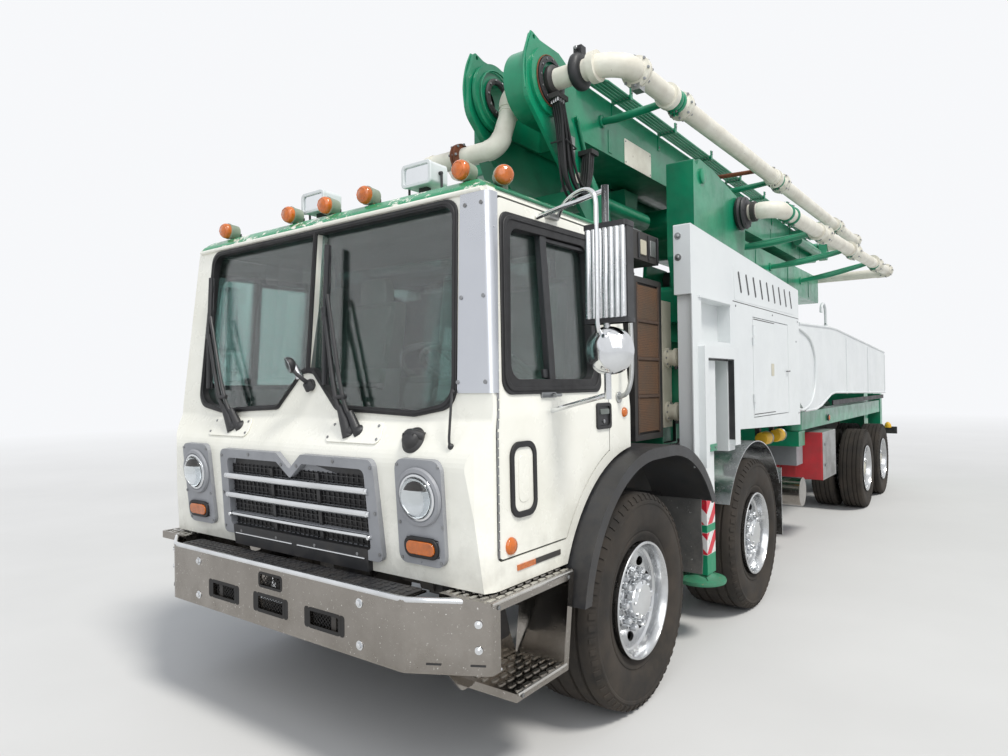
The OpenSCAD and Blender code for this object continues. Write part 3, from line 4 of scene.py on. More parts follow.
import bmesh
import bpy
from mathutils import Matrix, Vector


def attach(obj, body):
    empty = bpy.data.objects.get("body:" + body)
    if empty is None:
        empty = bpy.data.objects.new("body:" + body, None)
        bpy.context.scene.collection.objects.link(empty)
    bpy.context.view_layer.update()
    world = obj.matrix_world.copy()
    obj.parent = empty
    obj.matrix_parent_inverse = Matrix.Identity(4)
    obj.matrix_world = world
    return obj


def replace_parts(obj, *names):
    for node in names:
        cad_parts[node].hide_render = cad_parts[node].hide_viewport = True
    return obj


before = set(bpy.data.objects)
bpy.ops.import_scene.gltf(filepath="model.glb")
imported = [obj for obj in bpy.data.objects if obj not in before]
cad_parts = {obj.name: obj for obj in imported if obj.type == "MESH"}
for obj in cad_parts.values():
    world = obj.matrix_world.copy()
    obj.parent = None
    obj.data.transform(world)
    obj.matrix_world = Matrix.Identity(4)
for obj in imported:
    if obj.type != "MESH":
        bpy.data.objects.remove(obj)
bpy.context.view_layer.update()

# Lengths are in millimetres from here on, as in the solids, and Build.make turns them into metres.
# Only camera, lights, floor and materials are in metres.
MM = 0.001
AXLE_1, AXLE_2, AXLE_3, AXLE_4 = 4510, 2560, -2440, -3810
A = AXLE_1
FRONT_R, REAR_R = 555, 520
NOSE_X, NOSE_Z = A + 1215, 870
NOSE_TILT = atan2(47, 520)
NOSE = Matrix.Translation((NOSE_X, 0, NOSE_Z)) @ Matrix.Rotation(NOSE_TILT, 4, "Y")
# hinges of the boom: B with C in front, C with D and A with B at the back, A on the turret
FRONT_X, FRONT_Z, CD_X, AB_X = 3910, 3740, -4250, -4540
TURRET_X, TURRET_Z = 1410, 3250
# middle of the pipes on the sections: place across and height
PIPE_C_Y, PIPE_B, PIPE_D = 850, (-700, 3640), (-1235, 3660)
# struts between sections and pipes: places along C, and shares of the way along A
STRUTS_C, STRUTS_A = [FRONT_X - 380 - k * 7560 for k in (0.06, 0.42, 0.8)], (0.2, 0.5, 0.8)
X, Y, Z = (1, 0, 0), (0, 1, 0), (0, 0, 1)
SIDES = ((1, "left"), (-1, "right"))
TIP = 0.1  # radius that closes the middle of a lathed piece


# ---------------------------------------------------------------- camera and light
def make_camera():
    yaw, pitch, roll = radians(36.66), radians(0.67), radians(-0.79)
    ahead = Vector((-cos(yaw), -sin(yaw), 0.0))
    side = Vector((-sin(yaw), cos(yaw), 0.0))
    up = Vector(Z)
    look = ahead * cos(pitch) + up * sin(pitch)
    top = -ahead * sin(pitch) + up * cos(pitch)
    right = side * cos(roll) + top * sin(roll)
    top = -side * sin(roll) + top * cos(roll)
    data = bpy.data.cameras.new("camera")
    data.sensor_width = 36.0
    data.lens = 24.53
    camera = bpy.data.objects.new("camera", data)
    turn = Matrix((right, top, -look)).transposed().to_4x4()
    camera.matrix_world = Matrix.Translation((7.829, 2.820, 1.682)) @ turn
    bpy.context.collection.objects.link(camera)
    bpy.context.scene.camera = camera


SKY = (0.93, 0.94, 0.96, 1.0)


def make_light():
    """Soft studio: the sky that is seen is paler than the one that lights."""
    world = bpy.data.worlds.new("studio")
    bpy.context.scene.world = world
    world.use_nodes = True
    tree = world.node_tree
    tree.nodes.clear()
    out, fill, seen, mix, path = (tree.nodes.new("ShaderNode" + kind) for kind in (
        "OutputWorld", "Background", "Background", "MixShader", "LightPath"))
    for node, color, strength in ((fill, (0.86, 0.91, 1.0, 1.0), 0.55), (seen, SKY, 1.0)):
        node.inputs["Color"].default_value = color
        node.inputs["Strength"].default_value = strength
    shown = path.outputs["Is Camera Ray"]
    for ray in ("Is Glossy Ray", "Is Transmission Ray"):
        either = tree.nodes.new("ShaderNodeMath")
        either.operation = "MAXIMUM"
        tree.links.new(shown, either.inputs[0])
        tree.links.new(path.outputs[ray], either.inputs[1])
        shown = either.outputs[0]
    for k, source in enumerate((shown, fill.outputs[0], seen.outputs[0])):
        tree.links.new(source, mix.inputs[k])
    tree.links.new(mix.outputs[0], out.inputs["Surface"])

    def lamp(name, kind, energy, place, aim, up_axis):
        data = bpy.data.lights.new(name, kind)
        data.energy = energy
        piece = bpy.data.objects.new(name, data)
        piece.location = place
        piece.rotation_euler = Vector(aim).to_track_quat(up_axis, "Y").to_euler()
        bpy.context.collection.objects.link(piece)
        return data

    sun = lamp("sun", "SUN", 2.3, (0, 0, 0), (0.10, 0.62, 1.0), "Z")
    sun.angle = radians(14)
    sun.color = (1.0, 0.97, 0.92)
    lamp("soft", "AREA", 420, (12.0, 5.0, 7.5), (-8.5, -5.0, -5.9), "-Z").size = 9.0


# ---------------------------------------------------------------- materials
class Nodes:
    """A material's node tree with short ways to add and link nodes."""

    def __init__(self, name):
        self.mat = bpy.data.materials.new(name)
        self.mat.use_nodes = True
        self.tree = self.mat.node_tree
        self.shader = self.tree.nodes["Principled BSDF"]
        self.coord = self.new("TexCoord").outputs["Object"]

    def new(self, kind, values=(), **links):
        """Node of a kind with values on its inputs, and links by input name."""
        node = self.tree.nodes.new("ShaderNode" + kind)
        for key, value in dict(values).items():
            node.inputs[key].default_value = value
        for key, source in links.items():
            self.tree.links.new(source, node.inputs[key])
        return node

    def noise(self, scale, detail=4.0, roughness=0.6, stretch=None):
        source = self.coord
        if stretch:
            source = self.new("Mapping", {"Scale": stretch}, Vector=source).outputs[0]
        values = {"Scale": scale, "Detail": detail, "Roughness": roughness}
        return self.new("TexNoise", values, Vector=source).outputs["Fac"]

    def ramp(self, source, low, high, start=0.0, end=1.0):
        values = {"From Min": low, "From Max": high, "To Min": start, "To Max": end}
        return self.new("MapRange", values, Value=source).outputs["Result"]

    def math(self, how, a, b):
        node = self.new("Math")
        node.operation = how
        for k, value in enumerate((a, b)):
            if isinstance(value, (int, float)):
                node.inputs[k].default_value = value
            else:
                self.tree.links.new(value, node.inputs[k])
        return node.outputs[0]

    def mix(self, factor, a, b):
        node = self.new("Mix", Factor=factor)
        node.data_type = "RGBA"
        for key, value in (("A", a), ("B", b)):
            socket = [s for s in node.inputs if s.name == key and s.type == "RGBA"][0]
            if isinstance(value, tuple):
                socket.default_value = value + (1.0,)
            else:
                self.tree.links.new(value, socket)
        return [s for s in node.outputs if s.type == "RGBA"][0]

    def axis(self, which):
        return self.new("SeparateXYZ", Vector=self.coord).outputs["XYZ".index(which)]

    def wave(self, direction, scale, turn=None, distortion=0.0):
        source = self.coord
        if turn:
            source = self.new("Mapping", {"Rotation": turn}, Vector=source).outputs[0]
        node = self.new("TexWave", {"Scale": scale, "Distortion": distortion}, Vector=source)
        node.bands_direction = direction
        return node.outputs["Fac"]

    def link(self, key, source):
        self.tree.links.new(source, self.shader.inputs[key])

    def bump(self, source, strength, distance=0.002):
        node = self.new("Bump", {"Strength": strength, "Distance": distance}, Height=source)
        self.link("Normal", node.outputs[0])

    def set(self, **values):
        for key, value in values.items():
            self.shader.inputs[key.replace("_", " ")].default_value = value


def srgb(r, g, b):
    """Linear colour of an 8-bit screen colour."""
    return tuple(((v / 255 + 0.055) / 1.055) ** 2.4 if v > 10 else v / 255 / 12.92 for v in (r, g, b))


def worn(name, base, dull, rough=0.35, metal=0.0, coat=0.0, scale=3.0, grime=0.35, dirt=(90, 84, 74),
         dirt_low=0.3, dirt_high=1.3, chip=None, chip_size=26.0, chip_share=0.30, bump=0.12, fine=90.0,
         specular=0.5):
    """Surface whose colour varies, with grime low down and chips or specks where the paint is gone."""
    n = Nodes(name)
    tone = n.mix(n.ramp(n.noise(scale, 6.0), 0.38, 0.66), srgb(*base), srgb(*dull))
    speck = n.noise(chip_size, 8.0, 0.72)
    height = n.ramp(n.axis("Z"), dirt_low, dirt_high, grime, grime * 0.12)
    cloud = n.ramp(n.noise(scale * 2.7, 7.0, 0.7), 0.40, 0.72)
    tone = n.mix(n.math("MULTIPLY", height, cloud), tone, srgb(*dirt))
    if chip:
        tone = n.mix(n.ramp(speck, chip_share, chip_share - 0.035), tone, srgb(*chip))
    n.link("Base Color", tone)
    n.link("Roughness", n.ramp(cloud, 0.0, 1.0, rough, min(1.0, rough + 0.22)))
    n.bump(n.noise(fine, 3.0), bump)
    n.set(Metallic=metal, Coat_Weight=coat, Coat_Roughness=0.08, Specular_IOR_Level=specular)
    return n.mat


def cab_paint():
    """Cream paint, with the worn green band along the roof's edge."""
    n = Nodes("cab_paint")
    tone = n.mix(n.ramp(n.noise(1.6, 5.0), 0.40, 0.62), srgb(240, 239, 229), srgb(229, 228, 216))
    tone = n.mix(n.ramp(n.noise(34.0, 9.0, 0.75), 0.315, 0.29), tone, srgb(150, 146, 134))
    low = n.ramp(n.axis("Z"), 0.85, 1.35, 0.30, 0.0)
    tone = n.mix(n.math("MULTIPLY", low, n.ramp(n.noise(7.0, 7.0), 0.42, 0.66)), tone, srgb(120, 112, 98))
    band = n.math("MULTIPLY", n.ramp(n.axis("Z"), 2.508, 2.514), n.ramp(n.axis("Z"), 2.606, 2.600))
    patches = n.ramp(n.noise(11.0, 8.0, 0.72, stretch=(1.0, 1.0, 2.2)), 0.585, 0.545)
    n.link("Base Color", n.mix(n.math("MULTIPLY", band, patches), tone, srgb(38, 140, 96)))
    n.bump(n.noise(60.0, 2.0), 0.04)
    n.link("Roughness", n.ramp(n.noise(5.0, 5.0), 0.3, 0.7, 0.18, 0.34))
    n.set(Coat_Weight=0.35, Coat_Roughness=0.06)
    return n.mat


def tinted(name, tint, share, scale):
    n = Nodes(name)
    darker = srgb(*[int(v * share) for v in tint])
    n.link("Base Color", n.mix(n.ramp(n.noise(scale, 3.0), 0.3, 0.7), srgb(*tint), darker))
    return n


def glass(name, tint, rough=0.02, alpha=1.0):
    n = tinted(name, tint, 0.90, 1.3)
    n.set(Transmission_Weight=1.0, IOR=1.45, Roughness=rough, Alpha=alpha)
    return n.mat


def lens(name, tint):
    """Ribbed lamp lens that lets some light through."""
    n = tinted(name, tint, 0.8, 24.0)
    n.bump(n.wave("Y", 60.0), 0.25, 0.001)
    n.set(Roughness=0.12, Transmission_Weight=0.25, Coat_Weight=0.6)
    return n.mat


def mesh_screen():
    """Brown expanded metal over the cooler."""
    n = Nodes("cooler_mesh")
    lattice = [n.ramp(n.wave("X", 26.0, (0, radians(lean), 0), 0.3), 0.62, 0.80) for lean in (35, -35)]
    strands = n.math("MAXIMUM", *lattice)
    rust = n.mix(n.ramp(n.noise(5.0, 6.0), 0.35, 0.65), srgb(104, 84, 66), srgb(122, 86, 58))
    n.link("Base Color", n.mix(strands, srgb(34, 28, 24), rust))
    n.bump(strands, 0.8, 0.004)
    n.set(Roughness=0.75)
    return n.mat


def leg_paint():
    """White with red and green bands, worn towards the foot."""
    n = Nodes("leg_paint")
    z = n.axis("Z")
    lean = n.math("ADD", n.math("ADD", n.axis("X"), n.axis("Y")), z)
    wave = n.math("FRACT", n.math("MULTIPLY", lean, 1 / 0.170), 0.0)
    stripes = n.mix(n.ramp(wave, 0.485, 0.515), srgb(222, 222, 220), srgb(206, 36, 56))
    tone = n.mix(n.ramp(n.noise(2.0), 0.4, 0.6), srgb(226, 228, 228), srgb(208, 212, 210))
    green = srgb(14, 134, 94)
    for low, high, over in ((0.763, 0.925, stripes), (0.712, 0.763, green), (0.570, 0.712, stripes),
                            (0.300, 0.570, green)):
        inside = n.math("MULTIPLY", n.ramp(z, low, low + 0.002), n.ramp(z, high, high - 0.002))
        tone = n.mix(inside, tone, over)
    splash = n.ramp(n.noise(30.0, 8.0, 0.75), 0.60, 0.64)
    tone = n.mix(n.math("MULTIPLY", splash, n.ramp(z, 1.15, 0.80)), tone, srgb(20, 130, 90))
    chips = n.ramp(n.noise(38.0, 9.0, 0.75), 0.335, 0.305)
    n.link("Base Color", n.mix(chips, tone, srgb(120, 104, 84)))
    n.bump(n.noise(70.0, 4.0), 0.15)
    n.link("Roughness", n.ramp(n.noise(9.0), 0.3, 0.7, 0.35, 0.55))
    return n.mat


M = {}


def make_materials():
    for key, name, base, dull, values in (
        ("white", "white_paint", (217, 221, 221), (210, 214, 215), dict(
            rough=0.32, coat=0.2, grime=0.14, dirt=(150, 144, 130), dirt_low=1.1, dirt_high=2.0,
            chip=(128, 124, 116), chip_share=0.265, scale=1.2)),
        ("green", "green_paint", (8, 140, 100), (4, 112, 80), dict(
            rough=0.30, coat=0.3, grime=0.25, dirt=(74, 78, 70), dirt_low=1.0, dirt_high=4.6,
            chip=(172, 178, 168), chip_share=0.285, scale=2.0)),
        ("green_dull", "green_dull", (46, 132, 96), (64, 128, 100), dict(
            rough=0.5, grime=0.5, chip=(150, 120, 90), chip_share=0.36, scale=6.0)),
        ("pipe", "pipe_paint", (233, 230, 217), (214, 209, 194), dict(
            rough=0.42, grime=0.10, scale=5.0, chip=(104, 70, 46), chip_size=13.0, chip_share=0.345,
            dirt_high=5.0)),
        ("rust", "rust", (126, 72, 46), (92, 56, 40), dict(rough=0.85, scale=12.0, bump=0.5)),
        ("frame", "frame_paint", (40, 40, 42), (54, 52, 50), dict(
            rough=0.55, grime=0.6, dirt=(104, 96, 84), dirt_low=0.2, dirt_high=1.6, bump=0.3)),
        ("black", "black_plastic", (30, 31, 34), (42, 43, 46), dict(
            rough=0.42, dirt=(96, 90, 82), dirt_low=0.5, dirt_high=2.0, bump=0.25, fine=240.0)),
        ("rubber", "seal_rubber", (22, 22, 24), (32, 32, 34), dict(rough=0.5, grime=0.12, bump=0.1)),
        ("tyre", "tyre_rubber", (46, 44, 42), (62, 57, 52), dict(
            rough=0.82, grime=0.22, dirt=(108, 98, 86), dirt_low=0.0, dirt_high=1.1, scale=4.0, bump=0.45,
            fine=130.0, specular=0.25)),
        ("alu", "polished_aluminium", (214, 216, 218), (190, 192, 194), dict(
            rough=0.16, metal=1.0, grime=0.30, dirt=(110, 102, 90), dirt_low=0.2, chip=(150, 144, 132),
            chip_size=38.0, chip_share=0.315, bump=0.06)),
        ("bright", "bumper_plate", (158, 153, 147), (140, 135, 129), dict(
            rough=0.12, metal=1.0, grime=0.40, dirt=(104, 96, 84), dirt_low=0.5, dirt_high=0.86,
            chip=(246, 244, 240), chip_size=85.0, chip_share=0.372, bump=0.10, scale=2.5)),
        # near-black for the bumper's slots: painted shade
        ("recess", "painted_slot_shade", (17, 17, 18), (25, 25, 26), dict(rough=0.6, grime=0.2, bump=0.2)),
        ("cap", "lamp_cap", (150, 158, 142), (116, 132, 112), dict(rough=0.5, grime=0.2, scale=9.0)),
        ("guard", "pillar_guard", (206, 209, 214), (196, 199, 205), dict(
            rough=0.24, metal=1.0, grime=0.02, bump=0.02, scale=0.8)),
        ("tread", "tread_aluminium", (214, 212, 207), (186, 183, 177), dict(
            rough=0.22, metal=1.0, grime=0.25, scale=5.0, bump=0.2)),
        ("brown", "brown_paint", (84, 66, 54), (68, 54, 46), dict(
            rough=0.7, grime=0.2, scale=6.0, bump=0.3)),
        ("chrome", "chrome", (226, 228, 230), (206, 208, 210), dict(
            rough=0.07, metal=1.0, grime=0.05, bump=0.02)),
        ("bezel", "lamp_bezel", (152, 154, 158), (136, 138, 142), dict(
            rough=0.45, grime=0.12, chip=(70, 70, 72), chip_share=0.31, bump=0.2, fine=260.0)),
        ("steel", "machined_steel", (150, 152, 154), (126, 126, 126), dict(rough=0.3, metal=1.0, grime=0.3)),
        ("red", "red_paint", (196, 48, 56), (168, 44, 50), dict(
            rough=0.5, grime=0.5, chip=(120, 108, 98), chip_share=0.33)),
        ("plate", "tread_plate", (176, 178, 178), (146, 146, 144), dict(
            rough=0.35, metal=0.9, grime=0.6, dirt=(96, 90, 80))),
        ("trim", "cab_trim", (112, 118, 114), (98, 104, 100), dict(
            rough=0.75, grime=0.1, bump=0.05, fine=30.0)),
        ("cloth", "seat_cloth", (150, 156, 148), (128, 136, 128), dict(rough=0.9, grime=0.1, fine=60.0)),
        ("cream", "tank_paint", (206, 202, 184), (188, 182, 162), dict(rough=0.4, grime=0.3)),
        ("flap", "rubber_flap", (58, 58, 58), (88, 88, 86), dict(
            rough=0.75, grime=0.5, chip=(150, 150, 146), chip_size=48.0, chip_share=0.37,
            dirt=(130, 126, 118), dirt_low=0.4, dirt_high=1.1, bump=0.4)),
        ("yellow", "yellow_paint", (226, 178, 26), (196, 150, 24), dict(rough=0.45, grime=0.3)),
        ("mirror", "mirror_silver", (235, 238, 240), (228, 231, 233), dict(
            rough=0.03, metal=1.0, grime=0.0, bump=0.0)),
    ):
        M[key] = worn(name, base, dull, **values)
    M["cab"], M["leg"], M["mesh"] = cab_paint(), leg_paint(), mesh_screen()
    M["glass"] = glass("window_glass", (128, 176, 168), rough=0.0, alpha=0.6)
    M["clear"] = glass("lamp_glass", (244, 247, 248))
    M["amber"] = lens("amber_lens", (238, 122, 20))
    M["redlens"] = lens("red_lens", (176, 20, 18))


# ---------------------------------------------------------------- mesh building
def vec(*xyz):
    return Vector(xyz)


def around(count, shift=0.0):
    """Cosine and sine of evenly spaced places on a circle."""
    return [(cos(2 * pi * (k + shift) / count), sin(2 * pi * (k + shift) / count)) for k in range(count)]


def swept(outlines, axis, low, high):
    """Outlines in the two axes left over, at both ends of the sweep along axis."""
    order = {"X": lambda a, b, c: (c, a, b), "Y": lambda a, b, c: (a, c, b), "Z": lambda a, b, c: (a, b, c)}
    return [order[axis](*p, level) for level in (low, high) for outline in outlines for p in outline]


class Build:
    """Collects faces for one piece, then makes its object."""

    def __init__(self, material=None):
        self.verts, self.faces, self.mats, self.slots = [], [], [], []
        if material:
            self.use(material)

    def use(self, name):
        if name not in self.slots:
            self.slots.append(name)
        self.mat = self.slots.index(name)
        return self

    def add(self, verts, faces):
        base = len(self.verts)
        self.verts += [tuple(v) for v in verts]
        self.faces += [tuple(base + k for k in face) for face in faces]
        self.mats += [self.mat] * len(faces)
        return self

    def prism(self, outline, axis, low, high):
        n = len(outline)
        faces = [(k, (k + 1) % n, n + (k + 1) % n, n + k) for k in range(n)]
        faces += [tuple(reversed(range(n))), tuple(range(n, 2 * n))]
        return self.add(swept([outline], axis, low, high), faces)

    def box(self, x0, x1, y0, y1, z0, z1):
        return self.prism([(x0, y0), (x1, y0), (x1, y1), (x0, y1)], "Z", z0, z1)

    def ring(self, outer, inner, axis, low, high):
        """Frame between two outlines with the same number of points."""
        n = len(outer)
        faces = []
        for k in range(n):
            j = (k + 1) % n
            faces += [(k, j, 2 * n + j, 2 * n + k), (n + j, n + k, 3 * n + k, 3 * n + j),
                      (j, k, n + k, n + j), (2 * n + k, 2 * n + j, 3 * n + j, 3 * n + k)]
        return self.add(swept([outer, inner], axis, low, high), faces)

    def skin(self, loops, closed=False, capped=True):
        """Surface over loops of points; closed joins the last loop to the first."""
        rows, n = len(loops), len(loops[0])
        faces = []
        for k in range(rows if closed else rows - 1):
            j = (k + 1) % rows
            faces += [(k * n + s, k * n + (s + 1) % n, j * n + (s + 1) % n, j * n + s) for s in range(n)]
        if capped and not closed:
            faces += [tuple(reversed(range(n))), tuple(range((rows - 1) * n, rows * n))]
        return self.add([p for loop in loops for p in loop], faces)

    def tube(self, points, radius, sides=12, closed=False):
        """Round tube along points; radius may be a list."""
        pts = [Vector(p) for p in points]
        n = len(pts)
        radii = radius if isinstance(radius, list) else [radius] * n
        loops, up = [], None
        for k in range(n):
            ends = ((k + 1) % n, k - 1) if closed else (min(k + 1, n - 1), max(k - 1, 0))
            along = (pts[ends[0]] - pts[ends[1]]).normalized()
            if up is None:
                up = along.orthogonal().normalized()
            up = (up - along * up.dot(along)).normalized()
            over = along.cross(up)
            loops.append([pts[k] + (up * u + over * v) * radii[k] for u, v in around(sides)])
        return self.skin(loops, closed)

    def lathe(self, profile, centre, axis, sides=48):
        """Profile rows (radius, place along axis) turned about a line through centre."""
        c, along = Vector(centre), Vector(axis).normalized()
        a = along.orthogonal().normalized()
        b = along.cross(a)
        loops = [[c + along * h + (a * u + b * v) * r for u, v in around(sides)] for r, h in profile]
        return self.skin(loops, capped=False)

    def disc(self, radius, centre, axis, thick, sides=24):
        """Closed round button with a softened rim."""
        e = min(radius, thick) * 0.15
        return self.lathe([(TIP, 0), (radius - e, 0), (radius, e), (radius, thick - e), (radius - e, thick),
                           (TIP, thick)], centre, axis, sides)

    def dome(self, radius, centre, axis, height, sides=24, rows=6, skirt=0):
        profile = [(radius, -skirt)] if skirt else []
        for k in range(rows + 1):
            t = pi / 2 * k / rows
            profile.append((max(TIP, radius * cos(t)), height * sin(t)))
        return self.lathe(profile, centre, axis, sides)

    def bolt(self, centre, axis, radius, height, sides=6):
        self.lathe([(radius, 0), (radius, height * 0.75), (radius * 0.72, height)], centre, axis, sides)
        count = len(self.verts)
        self.faces.append(tuple(range(count - sides, count)))
        self.mats.append(self.mat)
        return self

    def bent(self, place):
        self.verts = [tuple(place(*v)) for v in self.verts]
        return self

    def moved(self, matrix):
        return self.bent(lambda *v: matrix @ Vector(v))

    def mirrored(self):
        """Everything again, mirrored across the machine."""
        count = len(self.verts)
        self.verts += [(x, -y, z) for x, y, z in self.verts]
        self.faces += [tuple(count + v for v in reversed(face)) for face in self.faces]
        self.mats *= 2
        return self

    def make(self, name, slot, body="root", bevel=0, angle=40):
        mesh = bpy.data.meshes.new(name)
        mesh.from_pydata([tuple(v * MM for v in p) for p in self.verts], [], self.faces)
        for material in self.slots:
            mesh.materials.append(M[material])
        mesh.polygons.foreach_set("material_index", self.mats)
        mesh.polygons.foreach_set("use_smooth", [True] * len(self.faces))
        work = bmesh.new()
        work.from_mesh(mesh)
        bmesh.ops.remove_doubles(work, verts=work.verts, dist=1e-5)
        bmesh.ops.recalc_face_normals(work, faces=work.faces)
        work.to_mesh(mesh)
        work.free()
        piece = bpy.data.objects.new(name, mesh)
        bpy.context.collection.objects.link(piece)
        if bevel:
            mod = piece.modifiers.new("bevel", "BEVEL")
            mod.width = bevel * MM
            mod.segments = 2
            mod.limit_method = "ANGLE"
            mod.angle_limit = radians(50)
        mesh.set_sharp_from_angle(angle=radians(angle))
        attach(piece, body)
        return piece


def rounded(corners, steps=5):
    """Outline from rows (a, b, corner radius)."""
    out = []
    n = len(corners)
    for k in range(n):
        p = Vector(corners[k][:2])
        r = corners[k][2]
        if r <= 0:
            out.append((p.x, p.y))
            continue
        u = (Vector(corners[k - 1][:2]) - p).normalized()
        v = (Vector(corners[(k + 1) % n][:2]) - p).normalized()
        half = acos(max(-1.0, min(1.0, u.dot(v)))) / 2
        c = p + (u + v).normalized() * r / sin(half)
        s, e = p + u * r / tan(half) - c, p + v * r / tan(half) - c
        a0 = atan2(s.y, s.x)
        sweep = (atan2(e.y, e.x) - a0 + 3 * pi) % (2 * pi) - pi
        for i in range(steps + 1):
            t = a0 + sweep * i / steps
            out.append((c.x + r * cos(t), c.y + r * sin(t)))
    return out


def rect(a0, a1, b0, b1, r, steps=5, top_r=None):
    """Rounded rectangle; top_r is the radius at b1 where it differs."""
    top = r if top_r is None else top_r
    return rounded([(a0, b0, r), (a1, b0, r), (a1, b1, top), (a0, b1, top)], steps)


def smooth_path(points, steps=8):
    """Catmull-Rom curve through points."""
    p = [Vector(q) for q in points]
    p = [p[0] * 2 - p[1]] + p + [p[-1] * 2 - p[-2]]
    out = []
    for k in range(1, len(p) - 2):
        for i in range(steps):
            t = i / steps
            a, b, c, d = p[k - 1], p[k], p[k + 1], p[k + 2]
            out.append(0.5 * ((2 * b) + (c - a) * t + (2 * a - 5 * b + 4 * c - d) * t * t
                              + (3 * b - a - 3 * c + d) * t ** 3))
    out.append(p[-2])
    return out


# ---------------------------------------------------------------- surfaces of the cab
def front_x(z):
    return A + 1176 - 0.0816 * (z - 1545)


def side_y(z):
    return 1170 if z < 1560 else 1170 - 0.0785 * (z - 1560)


def cowl_x(z):
    return A + 1262 - 0.555 * (z - 1390)


# ---------------------------------------------------------------- cab front
def shield_outline(g, mid):
    return rounded([
        (mid, 1775 - g, 0), (44, 1770 - g, 30), (229, 1592 - g, 50), (745, 1570 - g, 60),
        (965 + g, 1610 - g, 90), (925 + g, 2470 + g, 70), (mid, 2470 + g, 0)], 7)


def shield_pieces():
    b = Build("rubber")
    b.ring(shield_outline(15, 0.5), shield_outline(-11, 13), "X", -34, 10)
    b.ring(shield_outline(5, 0.5), shield_outline(-4, 6), "X", 8, 14)
    b.mirrored().bent(lambda x, y, z: (front_x(z) + x, y, z)).make("windshield_seal", "cab_trim", bevel=4)

    # bent plate round the left pillar
    b = Build("guard")
    loops = []
    for k in range(13):
        z = 1655 + 835 * k / 12
        f, s, r = front_x(z) + 1, side_y(z) + 1, 22
        taper = (2490 - z) / 835
        inner, back = 952 + 27 * taper, 34 - 26 * taper
        outer, under = ([(f - r + (r + t) * cos(pi / 12 * i), s - r + (r + t) * sin(pi / 12 * i), z)
                         for i in range(7)] for t in (7, 1))
        loops.append([(f + 1, inner, z), (f + 7, inner + 4, z)] + outer
                     + [(f - r - back, s + 7, z), (f - r - back, s + 1, z)] + under[::-1])
    b.skin(loops).use("steel")
    for z in (1700, 2050, 2440):
        for y in (985, side_y(z) - 30):
            b.disc(9, (front_x(z) + 8, y, z), (1, 0, 0.08), 4, 14)
    b.make("pillar_guard", "polished_aluminium")

    wiper("wiper_left", (365, 1478), (285, 1640), (165, 1700), (128, 2385))
    wiper("wiper_right", (-575, 1480), (-690, 1640), (-850, 1690), (-905, 2330))

    # body plates that the wipers stand on, with their screws
    b = Build("cab")
    for y in (400, -600):
        b.prism(rounded([(y - 190, 1435, 30), (y + 190, 1435, 30), (y + 170, 1530, 30), (y - 170, 1530, 30)]),
                "X", 0, 7)
    b.bent(lambda x, y, z: (cowl_x(z) + x + 1, y, z)).use("steel")
    for y in (400, -600):
        for dy, z in ((-165, 1455), (165, 1455), (-150, 1512), (150, 1512)):
            b.disc(7, (cowl_x(z) + 7, y + dy, z), (0.87, 0, 0.48), 4, 12)
    b.make("wiper_plates", "cab_paint", bevel=2)

    b = Build("black")
    c = vec(cowl_x(1460) + 2, 780, 1460)
    b.lathe([(58, -12), (60, 0), (54, 8), (46, 12), (40, 28), (30, 38), (16, 42), (TIP, 43)],
            c, (0.87, 0, 0.48), 32)
    b.tube(smooth_path([c + vec(-10, -50, 14), c + vec(12, 0, 30), c + vec(-10, 55, 14)], 6), 20)
    for k in range(5):
        y = c.y - 28 + k * 14
        b.box(c.x + 10, c.x + 34, y - 2, y + 2, c.z + 4, c.z + 30)
    b.make("cowl_vent", "black_plastic")

    # small mirror that looks down the nose
    b = Build("black")
    b.tube(smooth_path([(front_x(1700) + 4, 30, 1700), (front_x(1740) + 50, 20, 1730),
                        (front_x(1760) + 75, 0, 1760), (front_x(1780) + 85, -20, 1785)], 6), 11, 10)
    b.tube([(front_x(1700) + 4, 30, 1690), (front_x(1710) + 30, 26, 1712)], [34, 22], 14)
    b.use("chrome").tube([(front_x(1740) + 52, 6, 1735), (front_x(1780) + 75, -12, 1800)], [20, 14])
    b.use("black").disc(30, (front_x(1700) - 2, 30, 1700), (1, 0, 0.08), 16, 20)
    b.dome(40, (front_x(1800) + 92, -30, 1800), (-0.80, 0.35, 0.30), 30, 28, 6, 10)
    b.use("mirror").disc(37, (front_x(1800) + 99, -33, 1797.5), (0.80, -0.35, -0.30), 4, 28)
    b.make("nose_mirror", "black_plastic")

    # thin stay from the windshield's corner down to the nose
    b = Build("black")
    b.tube(smooth_path([(5700, 968, 1655), (5735, 990, 1575), (5752, 996, 1480), (5752, 998, 1446)], 6), 5.5, 8)
    b.dome(14, (5742, 998, 1440), (0.87, 0.2, 0.45), 18, 14, 4)
    b.bolt((5690, 966, 1660), (0.9, 0, 0.3), 11, 12, 8)
    b.make("shield_stay", "black_plastic")


